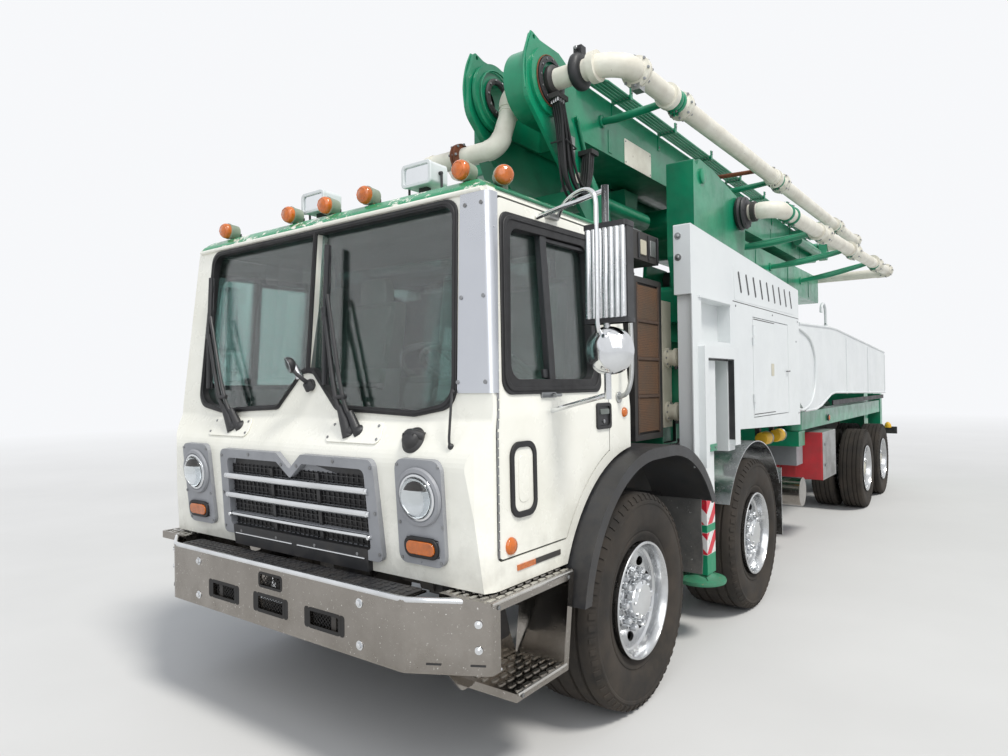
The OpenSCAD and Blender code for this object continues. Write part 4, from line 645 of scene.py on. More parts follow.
def wiper(name, base, elbow, low, high):
    """Base, double arm and blade with its rubber; places are (across, up) on the windshield."""
    def on_glass(place, out):
        return vec(front_x(place[1]) + out, *place)

    b = Build("black")
    foot = vec(front_x(1545) + 30, *base)
    hub = on_glass(((low[0] + high[0]) / 2, (low[1] + high[1]) / 2), 36)
    bend = on_glass(elbow, 55)
    b.dome(44, foot + vec(-24, 0, 0), (1, 0, 0.1), 60, 24, 6, 20)
    b.dome(34, foot + vec(-18, 62, 4), (1, 0, 0.1), 48, 20, 5, 20)
    b.tube([foot + vec(6, 0, -20), foot.lerp(bend, 0.35), foot.lerp(bend, 0.75)], [34, 30, 16])
    b.tube([foot + vec(2, 62, -14), (foot + vec(0, 55, 0)).lerp(bend + vec(0, 50, 0), 0.6)], [26, 16])
    b.tube(smooth_path([foot + vec(8, 0, 10), bend, hub]), 12.5, 10)
    side = vec(0, 52, 4)
    b.tube(smooth_path([foot + side, bend + side * 0.9, hub + side * 0.35 + vec(0, 0, 90)]), 9.5, 8)
    b.tube([bend - vec(0, 12, 0), bend + side + vec(0, 12, 0)], 12, 8)
    a, c = on_glass(low, 14), on_glass(high, 14)
    for lift, radius in ((0, 7.5), (16, 12.5)):
        d = vec(lift, 0, 0)
        b.tube([a + d, a.lerp(c, 0.5) + d * 1.3, c + d], radius, 8)
    for t in (0.10, 0.32, 0.68, 0.90):
        p = a.lerp(c, t)
        b.box(p.x - 4, p.x + 22, p.y - 10, p.y + 10, p.z - 20, p.z + 20)
    b.tube([a.lerp(c, 0.1) + vec(20, 0, 0), hub, a.lerp(c, 0.9) + vec(20, 0, 0)], 6, 8)
    b.box(hub.x - 12, hub.x + 10, hub.y - 16, hub.y + 16, hub.z - 34, hub.z + 34)
    b.make(name, "black_plastic", bevel=2)


def nose_pieces():
    """Pieces in the nose's own places: out of it, across, and up from its skirt."""
    b = Build("rubber").box(-11.5, -10, -535, 535, 105, 420).use("black")
    for k in range(31):
        y = -525 + k * 35
        b.box(-10, -4, y - 2.2, y + 2.2, 102, 424)
    for k in range(13):
        up = 112 + k * 25
        b.box(-9.5, -3.5, -535, 535, up - 2, up + 2)
    for y in (-180, 180):
        b.box(-8, 4, y - 12, y + 12, 102, 418)
    b.prism(rounded([(-515, 2, 0), (515, 2, 0), (520, 104, 6), (-520, 104, 6)], 2), "X", 0.8, 28.5)
    b.use("chrome").tube([(28, -500, 60), (29, -20, 60)], 5, 8)
    b.tube([(29, 20, 60), (28, 500, 60)], 5, 8)
    b.moved(NOSE).make("grille_mesh", "black_plastic")

    b = Build("chrome")
    for up, r in ((159, 10), (261, 18), (363, 18)):
        b.tube([(20, -552, up), (24, -300, up), (26, 0, up), (24, 300, up), (20, 552, up)], r, 16)
        for y in (-536, 536):
            b.bolt((14, y, up), X, 13, 24, 8)
    b.moved(NOSE).make("grille_bars", "polished_aluminium")

    b = Build("steel")
    for y, up in ((575, 470), (585, 270), (595, 90), (330, 485), (450, 75), (150, 75), (60, 448)):
        for side in (-1, 1):
            b.disc(8, (26.5, side * y, up), X, 4, 14)
    b.moved(NOSE).make("grille_screws", "machined_steel")

    for side, name in SIDES:
        y = side * 850
        c = (26.5, y, 365)
        b = Build("chrome").lathe([(101, -14), (101, 2), (97, 10), (89, 13), (84, 10), (84, -2)], c, X, 56)
        b.use("mirror").lathe([(84, 10), (76, 5.5), (60, 3), (36, 1.2), (TIP, 0.6)], c, X, 56)
        b.use("frame").prism([(y - 78, 392), (y + 78, 392), (y + 52, 428), (y, 442), (y - 52, 428)],
                             "X", 28.5, 30)
        b.use("bezel").lathe([(124, -4), (118, 7), (104, 10), (100, 4)], c, X, 56)
        b.moved(NOSE).make("headlamp_" + name, "polished_aluminium")
        b = Build("clear").dome(86, (37, y, 365), X, 34, 56, 10)
        b.moved(NOSE).make("headlamp_glass_" + name, "window_glass")
        lamp = rect(y - 78, y + 78, 127, 183, 26, 6)
        b = Build("amber").prism(lamp, "X", 26, 40)
        b.use("rubber").ring(rect(y - 94, y + 94, 111, 199, 38, 6), lamp, "X", 20, 34)
        b.use("steel")
        for dy, up in ((-115, 495), (115, 495), (-120, 250), (120, 250), (-120, 100), (100, 100)):
            b.disc(7, (20.5, side * (850 + dy), up), X, 4, 12)
        b.moved(NOSE).make("signal_" + name, "lamp_plastic", bevel=3)


# ---------------------------------------------------------------- roof lamps
def roof_pieces():
    housing = [(41, -45), (43, -15), (46, -12), (46, -4), (42, -3)]
    bulb = [(43, -6), (43, 14), (38, 24), (24, 32), (TIP, 35)]
    b = Build()
    for y in (-865, -270, 30, 325, 929):
        x, z = A + 1063, 2611
        b.use("cap").lathe([(TIP, -66), (39, -64)] + housing, (x, y, z), X, 32)
        b.use("amber").lathe(bulb, (x, y, z), X, 32)
        b.tube([(x + 30 - 1.5 * (k % 2), y + 30 * u, z + 30 * v) for k, (u, v) in enumerate(around(16))],
               2, 6, closed=True)
    c, turn = (A + 925, 1052, 2600), (0.62, 0.78, 0.05)
    b.use("cap").lathe([(TIP, -66), (34, -64)] + housing, c, turn, 32)
    b.use("amber").lathe(bulb, c, turn, 32)
    b.use("cap").box(c[0] - 45, c[0] - 5, c[1] - 50, c[1] - 10, 2535, 2580)
    b.make("roof_markers", "lamp_plastic")

    b = Build()
    x, z = A + 912, 2685
    for y in (575, -190):
        def face(half, tall, r, top_r, steps=5):
            return rect(y - half, y + half, z - tall, z + tall, r, steps, top_r)

        b.use("white").prism(face(92, 53, 18, 22), "X", x - 58, x + 52)
        b.ring(face(95, 56, 20, 24), face(78, 39, 10, 12), "X", x + 48, x + 66)
        b.use("mirror").prism(face(79, 40, 10, 10, 4), "X", x + 50, x + 56)
        b.use("black")
        for side in (-1, 1):
            b.tube([(x, y + side * 105, 2615), (x, y + side * 105, z)], 6, 8)
        for side in (1, -1):
            b.bolt((x, y + side * 93, z), (0, side, 0), 10, 18)
    b.make("work_lamps", "lamp_plastic", bevel=3)

    # drip rail round the roof
    b = Build("green_dull")
    for side in (-1, 1):
        b.tube([(A + 1040, side * 1094, 2512), (A + 500, side * 1098, 2512), (A, side * 1098, 2512)], 7, 8)
    b.use("cab").tube([(A + 1104, -1070, 2500), (A + 1106, 0, 2500), (A + 1104, 1070, 2500)], 11, 10)
    b.make("drip_rail", "cab_paint")


# ---------------------------------------------------------------- bumper and steps
def bumper_pieces():
    half = [(5660, 1172), (5715, 1172), (5730, 1160), (5884, 880), (5890, 840)]
    path = [(x, -y) for x, y in half] + half[::-1]
    b = Build("chrome").tube([(x, y, 845) for x, y in path], 12.5, 14)
    b.tube([(x + 1, y, 566) for x, y in path], 7.5, 10)
    b.make("bumper_rolls", "polished_aluminium")

    b = Build("black").prism(rect(5752, 5872, -850, 850, 20, 4), "Z", 846, 851)
    for k in range(40):
        y = -820 + k * 42
        for x in (5775, 5812, 5849):
            b.box(x - 11, x + 11, y - 8, y + 8, 850.5, 854.5)
    b.make("bumper_pad", "black_plastic", bevel=1.5)

    # slots of the bumper: rim, side bars on the lower three, and a lattice behind; the near-black rim and side
    # bars are painted shade, and the lattice is a real mesh in that painted shade
    b = Build("recess")
    pitch = 22
    for y, w, z, h in ((-390, 95, 670, 30), (0, 95, 670, 30), (390, 95, 670, 30), (0, 80, 780, 25)):
        lower = z < 700
        rim = 16 if lower else 12
        b.ring(rect(y - w - rim, y + w + rim, z - h - rim, z + h + rim, 18, 4),
               rect(y - w, y + w, z - h, z + h, 4, 4), "X", 5899.5, 5901.2)
        for side in (-1, 1) if lower else ():
            a0, a1 = y + side * (w + 12), y + side * (w + 40)
            z0, z1 = z - h - rim, z + h + rim
            b.prism(rounded([(a0, z0, 4), (a1, z0, 14), (a1, z1, 14), (a0, z1, 4)], 3), "X", 5899, 5900.6)
        for k in range(-3, int(w * 2 / pitch) + 1):
            for lean in (1, -1):
                a0 = y - w + k * pitch
                p, q = vec(5880, a0, z - h * lean), vec(5880, a0 + 2.2 * h, z + h * lean)
                if p.y < y - w:
                    p = p.lerp(q, (y - w - p.y) / (q.y - p.y))
                if q.y > y + w:
                    q = p.lerp(q, (y + w - p.y) / (q.y - p.y))
                if q.y > p.y:
                    b.tube([p, q], 2.2, 6)
    b.make("bumper_mesh", "black_plastic")

    b = Build("chrome")
    for y in (-620, 620):
        for z in (615, 790):
            b.disc(20, (5900, y, z), X, 3, 20)
            b.bolt((5903, y, z), X, 13, 10)
    # bolts on the bumper's slanting ends
    ahead, aside = 0.877, 0.481
    for side in (-1, 1):
        x, y, out = 5753.8, side * 1136.6, (ahead, side * aside, 0)
        for z in (660, 760):
            b.disc(16, (x + 2, y + side, z), out, 3, 18)
            b.bolt((x + 4, y + side * 2, z), out, 10, 8)
    b.make("bumper_bolts", "machined_steel")

    b = Build("rubber")
    for side in (-1, 1):
        for t in (0.35, 0.85):
            p = vec(5900 - 170 * t, side * (870 + 310 * t), 600) + vec(ahead, side * aside, 0) * 1.2
            d = vec(-aside, side * ahead, 0) * 30
            b.tube([p - d, p + d], 4, 6)
    b.make("bumper_slits", "black_plastic")

    # treads, side opening and struts of the steps
    b = Build("tread")
    x0, x1 = A + 665, A + 1275
    for level, a0, a1 in ((860, x0 + 15, x1 - 10), (465, x0 + 75, x1 - 170)):
        for row in range(6):
            y = 985 + row * 43
            for k in range(int((a1 - a0) / 58)):
                x = a0 + 29 + k * 58 + (12 if row % 2 else 0)
                b.prism(rect(x - 22, x + 22, y - 10, y + 10, 8, 2), "Z", level - 2, level + 4)
        b.tube([(a0, 1217, level - 6), (a1, 1217, level - 6)], 8, 8)
    for k in range(3):
        b.tube([(x0 + 58, 1030 + k * 65, 470), (x0 - 2, 1030 + k * 65, 810)], 10, 8)
    # black sheet set back in the side opening: painted shade
    b.use("black").prism(rounded([(x0 + 150, 560, 20), (x1 - 60, 560, 20), (x1 - 60, 790, 20),
                                  (x0 + 220, 790, 20)], 4), "Y", 972.5, 975)
    b.use("steel")
    for x, z in ((x0 + 50, 835), (x1 - 50, 835), (x1 - 200, 447)):
        b.bolt((x, 1220.5, z), Y, 9, 6)
    b.mirrored().make("step_treads", "polished_aluminium")


# ---------------------------------------------------------------- doors
def window_outline(g):
    return rounded([(A + 1075 + g, 1680 - g, 60), (A + 1000 + g, 2385 + g, 60),
                    (A + 290 - g, 2400 + g, 60), (A + 320 - g, 1680 - g, 60)], 7)


def door_pieces():
    for side, name in SIDES:
        body = "door_" + name

        def on_door(x, y, z):
            return x, side * (side_y(z) + y), z

        b = Build("rubber")
        b.ring(window_outline(34), window_outline(-30), "Y", -52, 8)
        b.ring(window_outline(20), window_outline(4), "Y", 6, 13)
        b.use("black").prism([(A + 695, 1700), (A + 745, 1700), (A + 735, 2375), (A + 685, 2375)], "Y", -30, 2)
        b.prism([(A + 300, 2345), (A + 700, 2340), (A + 700, 2358), (A + 300, 2363)], "Y", -30, -4)
        b.prism(rect(A + 742, A + 780, 1715, 1755, 4, 2), "Y", -22, -6)
        b.bent(on_door).make("door_window_frame_" + name, "cab_trim", body, bevel=3)

        # knuckles of the hinge along the front edge, upright below and leaning above
        b = Build("steel")
        count, lower = 38, 0.36
        for k in range(count):
            t0, t1 = k / count, (k + 0.86) / count
            if t0 < lower:
                ends = [(A + 1153, 1000 + t / lower * 500) for t in (t0, min(t1, lower))]
            else:
                shares = [(t - lower) / (1 - lower) for t in (t0, t1)]
                ends = [(A + 1153 - 102 * s, 1500 + 955 * s) for s in shares]
            b.tube([(x, 2, z) for x, z in ends], 5.2, 8)
        b.bent(on_door).make("door_hinge_" + name, "machined_steel")

        # long oval panel in the lower corner
        b = Build("rubber")
        outer, inner, panel = (rounded([(A + a0, b0, r), (A + a1, b0, r), (A + a1 + lean, b1, r),
                                        (A + a0 + lean, b1, r)], steps) for a0, a1, b0, b1, lean, r, steps in (
            (886, 1070, 1140, 1452, 4, 60, 8), (908, 1048, 1164, 1428, 4, 40, 8),
            (940, 1015, 1200, 1395, 3, 30, 6)))
        b.ring(outer, inner, "Y", -1, 11)
        b.use("cab").prism(inner, "Y", -2, 4).prism(panel, "Y", 4, 6.5)
        # recessed handle and lock
        b.use("rubber").ring(rect(A + 205, A + 352, 1462, 1592, 20), rect(A + 222, A + 335, 1479, 1575, 14),
                             "Y", -1, 10)
        b.use("black").prism(rect(A + 222, A + 335, 1479, 1575, 12, 4), "Y", -1, 2)
        b.use("trim").prism(rect(A + 235, A + 322, 1535, 1562, 8, 4), "Y", 2, 12)
        b.use("steel").disc(10, (A + 278, 1.5, 1500), Y, 6, 16)
        # latch below the window and round side marker
        b.prism(rect(A + 715, A + 830, 1628, 1652, 4, 3), "Y", 0, 10)
        b.tube([(A + 745, 12, 1640), (A + 745, 50, 1640), (A + 800, 58, 1640)], 8, 10)
        b.use("amber").dome(36, (A + 1071, 2, 1034), Y, 20, 28, 5, 4)
        b.bent(on_door).make("door_fittings_" + name, "cab_trim", body, bevel=1.5)

        mirror(side, name, body)

    # handrail and markers at the cab's rear edge
    b = Build("plate")
    b.tube(smooth_path([(A + 105, 1172, 1615), (A + 112, 1225, 1650), (A + 85, 1235, 1780),
                        (A + 40, 1205, 2150), (A + 18, 1185, 2290), (A + 12, 1120, 2335)]), 12.5)
    b.disc(30, (A + 105, 1166, 1615), Y, 8, 20)
    b.disc(30, (A + 12, 1107, 2335), (0, 1, 0.08), 8, 20)
    b.use("amber").dome(26, (A + 52, 1172, 1537), Y, 16, 24, 5, 4)
    b.box(A + 900, A + 1030, 1170, 1175, 925, 948)
    b.use("frame").box(A + 700, A + 900, 1170, 1174, 925, 948)
    b.mirrored().make("cab_side_fittings", "machined_steel")
    # black valance between the cab and the step
    Build("frame").box(A + 550, A + 1100, 1014, 1020, 870, 985).mirrored().make("valance", "frame_paint")

    # seat covers seen through the glass
    b = Build("cloth")
    x, z = A + 420, 1430
    for y in (620, -620):
        loops = []
        for k in range(9):
            u = k / 8
            mid = x - 135 - 115 * u + 12 * cos(4 * pi * u)
            loops.append([(mid + 28 * p, y + 205 * q, z + 262 + 520 * u) for p, q in around(20)])
        b.skin(loops)
        b.prism(rounded([(x - 200, y - 225, 50), (x + 258, y - 225, 70), (x + 258, y + 225, 70),
                         (x - 200, y + 225, 50)]), "Z", z + 255, z + 290)
        b.prism(rounded([(y - 130, z + 800, 40), (y + 130, z + 800, 40), (y + 120, z + 980, 50),
                         (y - 120, z + 980, 50)]), "X", x - 345, x - 265)
    b.make("seat_covers", "cab_trim", bevel=12)


def mirror(side, name, body):
    """Ribbed bright back, dark frame, glass, loop and convex mirror."""
    b = Build("alu")
    y, z0, z1 = 1450, 1950, 2350
    x = A + 752
    ribs, steps = 7, 56
    loops = []
    for z, w, d in ((z0 + 5, 90, 2), (z0 + 12, 94, 10), (z1 - 12, 94, 10), (z1 - 5, 90, 2)):
        loop = [(x + d + 7 * abs(sin(pi * ribs * k / steps)) ** 0.6, side * (y - w + 2 * w * k / steps), z)
                for k in range(steps + 1)]
        loops.append(loop + [(x - 4, side * (y + w), z), (x - 4, side * (y - w), z)])
    b.skin(loops).use("black")
    a0, a1 = side * (y - 101), side * (y + 101)
    rim = rounded([(x - 66, a0, 6), (x + 14, a0, 12), (x + 14, a1, 12), (x - 66, a1, 6)], 3)
    b.prism(rim, "Z", z0 - 10, z0 + 10).prism(rim, "Z", z1 - 10, z1 + 12)
    b.use("mirror").box(x - 64.5, x - 62.5, side * y - 90, side * y + 90, z0 + 20, z1 - 20)
    b.use("chrome").tube(smooth_path([(A + out, side * across, up) for out, across, up in (
        (580, 1105, 2462), (700, 1220, 2492), (800, 1360, 2502), (830, 1440, 2470), (832, 1452, 2360),
        (832, 1452, 2100), (830, 1450, 1930), (800, 1445, 1895))]), 10.5)
    b.use("plate").box(A + 600, A + 680, side * 1108 - 12, side * 1108 + 20, 2450, 2474)
    b.bolt((A + 640, side * 1120, 2474), Z, 10, 10)
    b.use("chrome").lathe([(TIP, 46), (40, 43), (75, 31), (94, 14), (100.5, 0), (102.5, -6), (102.5, -26),
                           (98, -30), (94, -24)], (A + 754, side * y, 1825), X)
    b.use("mirror").dome(94, (A + 699, side * y, 1825), (-1, 0, 0), 12, 40, 5)
    b.make("mirror_" + name, "machined_steel", body)


# ---------------------------------------------------------------- side of the machine
def cooler_pieces():
    """Expanded metal in four panels with straps, the box above it and the tank's ports."""
    for side, name in SIDES:
        b = Build("mesh")
        x0, x1 = A - 788, A - 472
        cuts = [1378, 1608, 1838, 2068, 2297]

        def plate(xa, xb, out, za, zb):
            y = sorted((side * 991, side * (991 + out)))
            b.box(xa, xb, *y, za, zb)

        for low, high in zip(cuts, cuts[1:]):
            plate(x0 + 8, x1 - 8, 6, low + 10, high - 10)
        b.use("brown")
        for z in cuts[1:-1]:
            plate(x0, x1, 13, z - 9, z + 9)
        for x in (x0, x1 - 12):
            plate(x, x + 12, 12, cuts[0], cuts[-1])
        b.make("cooler_mesh_" + name, "frame_paint", bevel=2)

    b = Build("black")
    x0, x1 = A - 800, A - 360
    for x in (x0 + 20, x0 + 150, x0 + 290, x1 - 20):
        b.box(x - 10, x + 10, 1000, 1008, 2450, 2605)
    b.use("plate").prism(rect(x0 + 50, x0 + 130, 2480, 2580, 10, 3), "Y", 1000.5, 1006)
    b.use("cream").prism(rect(x0 + 190, x0 + 270, 2475, 2565, 10, 3), "Y", 1000.5, 1008)
    b.use("steel")
    for z in (2460, 2595):
        b.bolt((x1 - 20, 1008, z), Y, 8, 6)
    b.use("black").tube(smooth_path([(x1 - 60, 980, 2455), (x1 - 20, 1000, 2400), (x1 - 50, 985, 2360),
                                     (x1 - 120, 970, 2350)], 6), 16, 10)
    b.mirrored().make("cooler_box_fittings", "black_plastic", bevel=2)

    b = Build()
    x = A - 910
    for z in (1500, 1850):
        b.use("cream").lathe([(66, 0), (66, 16), (50, 20), (50, 52), (62, 56), (62, 78), (52, 84), (TIP, 86)],
                             (x, 1001, z), Y, 28)
        b.use("steel")
        for u, v in around(8):
            b.bolt((x + 57 * u, 1017, z + 57 * v), Y, 7, 7)
        b.use("black").tube([(x + 20, 1070, z - 75), (x + 20, 1070, z + 50)], 12, 8)
    b.mirrored().make("tank_ports", "machined_steel")


def housing_pieces():
    for side, name in SIDES:
        def on_side(x, y, z):
            return x, side * y, z

        # end screws, panel seams and small fittings
        b = Build("steel")
        for z in (2606, 2472):
            b.disc(22, (A - 780, 1140, z), X, 4, 18)
            b.bolt((A - 776, 1140, z), X, 14, 10)
        for x, z in ((1620, 2235), (2550, 2235), (3360, 2235), (3360, 1400), (1640, 1450), (3300, 2050)):
            b.disc(8, (A - x, 1220, z), Y, 4, 12)
        b.use("frame").box(A - 3405, A - 1560, 1219.5, 1220.6, 2262, 2268)
        b.use("white").box(A - 1505, A - 900, 1215, 1232, 2228, 2242)
        b.box(A - 832, A - 782, 1218, 1226, 1160, 2240)
        b.bent(on_side).make("housing_screws_" + name, "white_paint", bevel=1.5)

        b = Build("white").prism(rounded([(1275, 2290, 20), (2905, 2276, 20), (2925, 2532, 20),
                                          (1295, 2528, 20)], 4), "Y", 1219.5, 1221.8)
        b.use("black")
        for k in range(9):
            x = 2760 - 175.5 * k
            slit = ((14, 2338), (78, 2490), (42, 2490), (-22, 2338))
            b.prism(rounded([(x + dx, z, 12) for dx, z in slit], 3), "Y", 1221, 1222.6)
        b.bent(on_side).make("louvre_panel_" + name, "white_paint")
        # edge trim inside the guard of the jack leg
        b = Build("black").box(3070, 3570, 1219.5, 1220.5, 1832, 1845)
        b.box(3060, 3072, 1222, 1262, 1290, 1840).bent(on_side).make("guard_lining_" + name, "black_plastic")

        b = Build("white")
        for z in (1997, 1563):
            b.tube([(A - 2010, 1229, z - 30), (A - 2010, 1229, z + 30)], 10, 10)
        b.use("steel").tube(smooth_path([(A - x, y, z) for x, y, z in (
            (2950, 1222, 1775), (2952, 1240, 1778), (2990, 1242, 1778), (3008, 1222, 1775))], 5), 6, 8)
        b.use("cream").prism(rect(A - 2575, A - 2500, 1735, 1835, 4, 2), "Y", 1220.5, 1222.5)
        b.use("frame")
        for z in (2166, 1436):
            b.box(A - 2600, A - 2030, 1220.2, 1221.2, z, z + 6)
        b.bent(on_side).make("hatch_fittings_" + name, "white_paint", "hatch_" + name)

        # rear fairing: rounded rim at the front, edge beads and seams
        b = Build("white")
        rim = [(A - 3520, 1174, 2190)] + [(A - x, 1176, z) for x, z in (
            (3620, 2190), (4000, 2120), (4200, 1980), (4245, 1820), (4200, 1620), (4020, 1470), (3720, 1415))]
        b.tube(smooth_path(rim + [(A - 3520, 1174, 1430)]), 13, 10)
        b.tube([(A - x, 1172, z) for x, z in (
            (3800, 1402), (4260, 1402), (4500, 1432), (4980, 1540), (5200, 1558), (8930, 1502))], 12, 8)
        b.tube([(A - x, 1168, z) for x, z in ((3620, 2242), (5050, 2286), (5350, 2284), (8930, 2131))], 14, 8)
        for x in (5900, 7400, 8930):
            b.tube([(A - x, 1172, 1530), (A - x, 1172, 2245 + 0.041 * (5200 - x))], 6, 8)
        b.bent(on_side).make("fairing_beads_" + name, "white_paint")


def low_pieces():
    x = A - 5190
    b = Build("white").tube(smooth_path([(x + dx, 1090, z) for dx, z in (
        (0, 2260), (0, 2440), (30, 2530), (110, 2565), (200, 2530), (225, 2460))]), 16)
    b.lathe([(34, 0), (34, 20), (22, 30), (22, 60)], (x, 1090, 2275), Z, 20)
    b.use("steel").tube([(x - 45, 1090, 2340), (x + 20, 1090, 2340)], 10, 8)
    b.make("wash_tap", "white_paint")

    b = Build()
    for x in (1490, 1060):
        c = (x, 1000, 1180)
        b.use("yellow").lathe([(TIP, -90), (52, -88), (58, -75), (58, 70), (52, 85), (30, 90), (TIP, 91)],
                              c, X, 28)
        b.use("steel").lathe([(60, -110), (62, -100), (62, -88), (58, -84)], c, X, 24)
        b.use("frame").box(x - 30, x + 30, 930, 970, 1160, 1300)
    b.mirrored().make("oil_filters", "machined_steel")

    loops = []
    for k in range(9):
        x, z = 3640 + 12 * sin(k * 0.8) + 10 * (k / 8) ** 2, 955 - 465 * k / 8
        loops.append([(x - 5, 870, z), (x + 5, 870, z), (x + 5, 1232, z), (x - 5, 1232, z)])
    Build("flap").skin(loops).mirrored().make("mud_flaps", "black_plastic", bevel=2)

    b = Build("rubber").box(-4300, -620, 1150, 1165, 1415, 1470)
    c = (-735, 1091, 1268)
    b.use("amber").lathe([(30, 0), (30, 8), (22, 15), (TIP, 18)], c, Y, 28)
    b.use("black").lathe([(38, -4), (38, 6), (30, 8)], c, Y, 28)
    b.mirrored().make("fairing_strip", "black_plastic")

    # raised pattern on the toolbox, and its front
    b = Build("plate")
    d, w = 10.5, 3.84
    for row in range(17):
        for k in range(20):
            x, z = -545 + k * 31.5, 672 + row * 28.5
            rise = d if (row + k) % 2 else -d
            b.add([(x - d, 1189.5, z - rise), (x, 1192.5, z + w), (x + d, 1189.5, z + rise),
                   (x, 1192.5, z - w)], [(0, 1, 2, 3)])
    b.mirrored().make("toolbox_tread", "polished_aluminium")
    b = Build("steel")
    for z in (800, 1020):
        b.box(-100, -20, 1190, 1198, z - 14, z + 14)
    b.use("red").box(70.2, 80, 775, 1180, 655, 1145).box(70.2, 83, 905, 925, 700, 1100)
    b.mirrored().make("toolbox_front", "red_paint", bevel=2)

    b = Build()
    for side in (-1, 1):
        for across, material in ((1060, "redlens"), (920, "amber"), (780, "redlens")):
            y = side * across
            b.use("black").disc(58, (-5898.5, y, 820), (-1, 0, 0), 1, 28)
            b.use(material).lathe([(50, 0), (50, 0.4), (TIP, 0.6)], (-5899.2, y, 820), (-1, 0, 0), 28)
        b.use("frame")
        for z in (640, 500):
            b.tube([(-5840, side * 980, z), (-5840, side * 620, z)], 14, 8)
        for y in (980, 620):
            b.tube([(-5840, side * y, 765), (-5840, side * y, 480)], 14, 8)
        b.use("yellow").dome(55, (-5800, side * 1020, 880), Z, 85, 28, 8, 12)
    b.make("rear_lamps", "lamp_plastic")


# ---------------------------------------------------------------- wheels
def holed_disc(b, r0, r1, height, centre, depth):
    """Ring plate about Y with ten oval holes; height(r) is the place across."""
    count, hole_a, hole_b, steps = 10, 24, 34, 16
    rc, half = (r0 + r1) / 2, pi / count
    for k in range(count):
        mid = 2 * pi * k / count

        def point(r, t, down=0.0):
            return r * sin(mid + t), centre + height(r) - down, r * cos(mid + t)

        rim, hole, wall = [], [], []
        for u, v in around(steps):
            m = max(abs(u), abs(v))
            rim.append(point(rc + u / m * (r1 - rc), v / m * half))
            r, t = rc + hole_a * u, hole_b * v / rc
            hole.append(point(r, t))
            wall.append(point(r, t, depth))
        b.skin([rim, hole, wall], capped=False)


def tyre(b, r, w, y, sides=112):
    """Ribbed highway tyre with small blocks on its shoulders."""
    h = w / 2
    half = [(290, 0.72), (302, 0.83), (330, 0.885), (338, 0.905), (346, 0.905), (352, 0.885), (360, 0.915),
            (395, 0.975), (430, 1), (462, 0.995), (r - 62, 0.975), (r - 56, 0.992), (r - 46, 0.992),
            (r - 40, 0.968), (r - 22, 0.925), (r - 9, 0.86), (r - 2, 0.76)]
    for g in (0.56, 0.22):
        half += [(r - 0.5, g + 0.045), (r - 13, g + 0.03), (r - 13, g - 0.03), (r, g - 0.045)]
    profile = [(a, h * c) for a, c in half] + [(a, -h * c) for a, c in reversed(half)]
    b.use("tyre").lathe(profile, (0, y, 0), Y, sides)
    blocks, wide = 60, 0.026
    for k in range(blocks):
        a = 2 * pi * k / blocks
        for side in (1, -1):
            loops = []
            for q, p in ((r - 36, h * 0.966), (r - 20, h * 0.925), (r - 8, h * 0.858)):
                corners = ((3.5, -wide / 1.15), (3.5, wide / 1.15), (-6, wide), (-6, -wide))
                loops.append([((q + out) * sin(a + t), y + side * (p + out), (q + out) * cos(a + t))
                              for out, t in corners])
            b.skin(loops)


def front_wheel(b):
    mid, c = 1040, (0, 1040, 0)
    tyre(b, FRONT_R, 420, mid)
    b.use("alu").lathe([(286, 150), (297.5, 196), (300.5, 204), (297, 208), (288, 207), (279, 190),
                        (274.5, 160), (270, 140), (260, 129.5), (244, 126)], c, Y, 72)
    holed_disc(b, 168, 244, lambda q: 126 - 0.0036 * (244 - q) ** 2, mid, 18)
    base = 126 - 0.0036 * 76 ** 2
    b.lathe([(168, base), (166, base + 10), (160, 130.5), (110, 131), (106, 136), (106, 140)], c, Y, 60)
    b.use("chrome").lathe([(104, 132), (103, 182), (98, 192), (84, 199), (80, 205), (50, 208.5),
                           (TIP, 210)], c, Y)
    for u, v in around(8):
        b.bolt((91 * v, mid + 195, 91 * u), Y, 8, 8)
    b.use("frame").lathe([(262, 60), (100, 55)], c, Y)
    b.use("alu").lathe([(286, -150), (297.5, -196), (300.5, -204), (297.5, -208), (280, -200), (270, -150),
                        (262, 60)], c, Y, 60)
    return mid + 130


def twin_wheel(b):
    outer, inner = 1082.5, 747.5
    for y in (outer, inner):
        tyre(b, REAR_R, 275, y, 96)
    c, d = (0, outer, 0), (0, inner, 0)
    rim = [(286, 95), (297.5, 126), (300.5, 132)]
    b.use("alu").lathe(rim + [(297, 136), (288, 135), (276, 110), (272, 20), (268, -40), (256, -66),
                              (244, -72)], c, Y, 72)
    holed_disc(b, 168, 244, lambda q: -72 + 0.1 * (244 - q), outer, 14)
    b.lathe([(168, -64.4), (164, -66), (108, -66.5)], c, Y, 60)
    b.use("cream").lathe([(112, -68), (111, 60), (102, 74), (96, 92), (70, 100), (TIP, 102)], c, Y)
    b.use("steel")
    for u, v in around(8):
        b.bolt((86 * v, outer + 93, 86 * u), Y, 9, 10)
    b.use("frame").lathe([(262, -90), (100, -92)], c, Y)
    b.use("alu").lathe(rim + [(297.5, 134.5), (270, 100), (262, 0), (270, -100), (297.5, -134.5),
                              (300.5, -132), (286, -95)], d, Y, 60)
    b.use("frame").lathe([(262, 40), (62, 40)], d, Y)
    return outer - 67


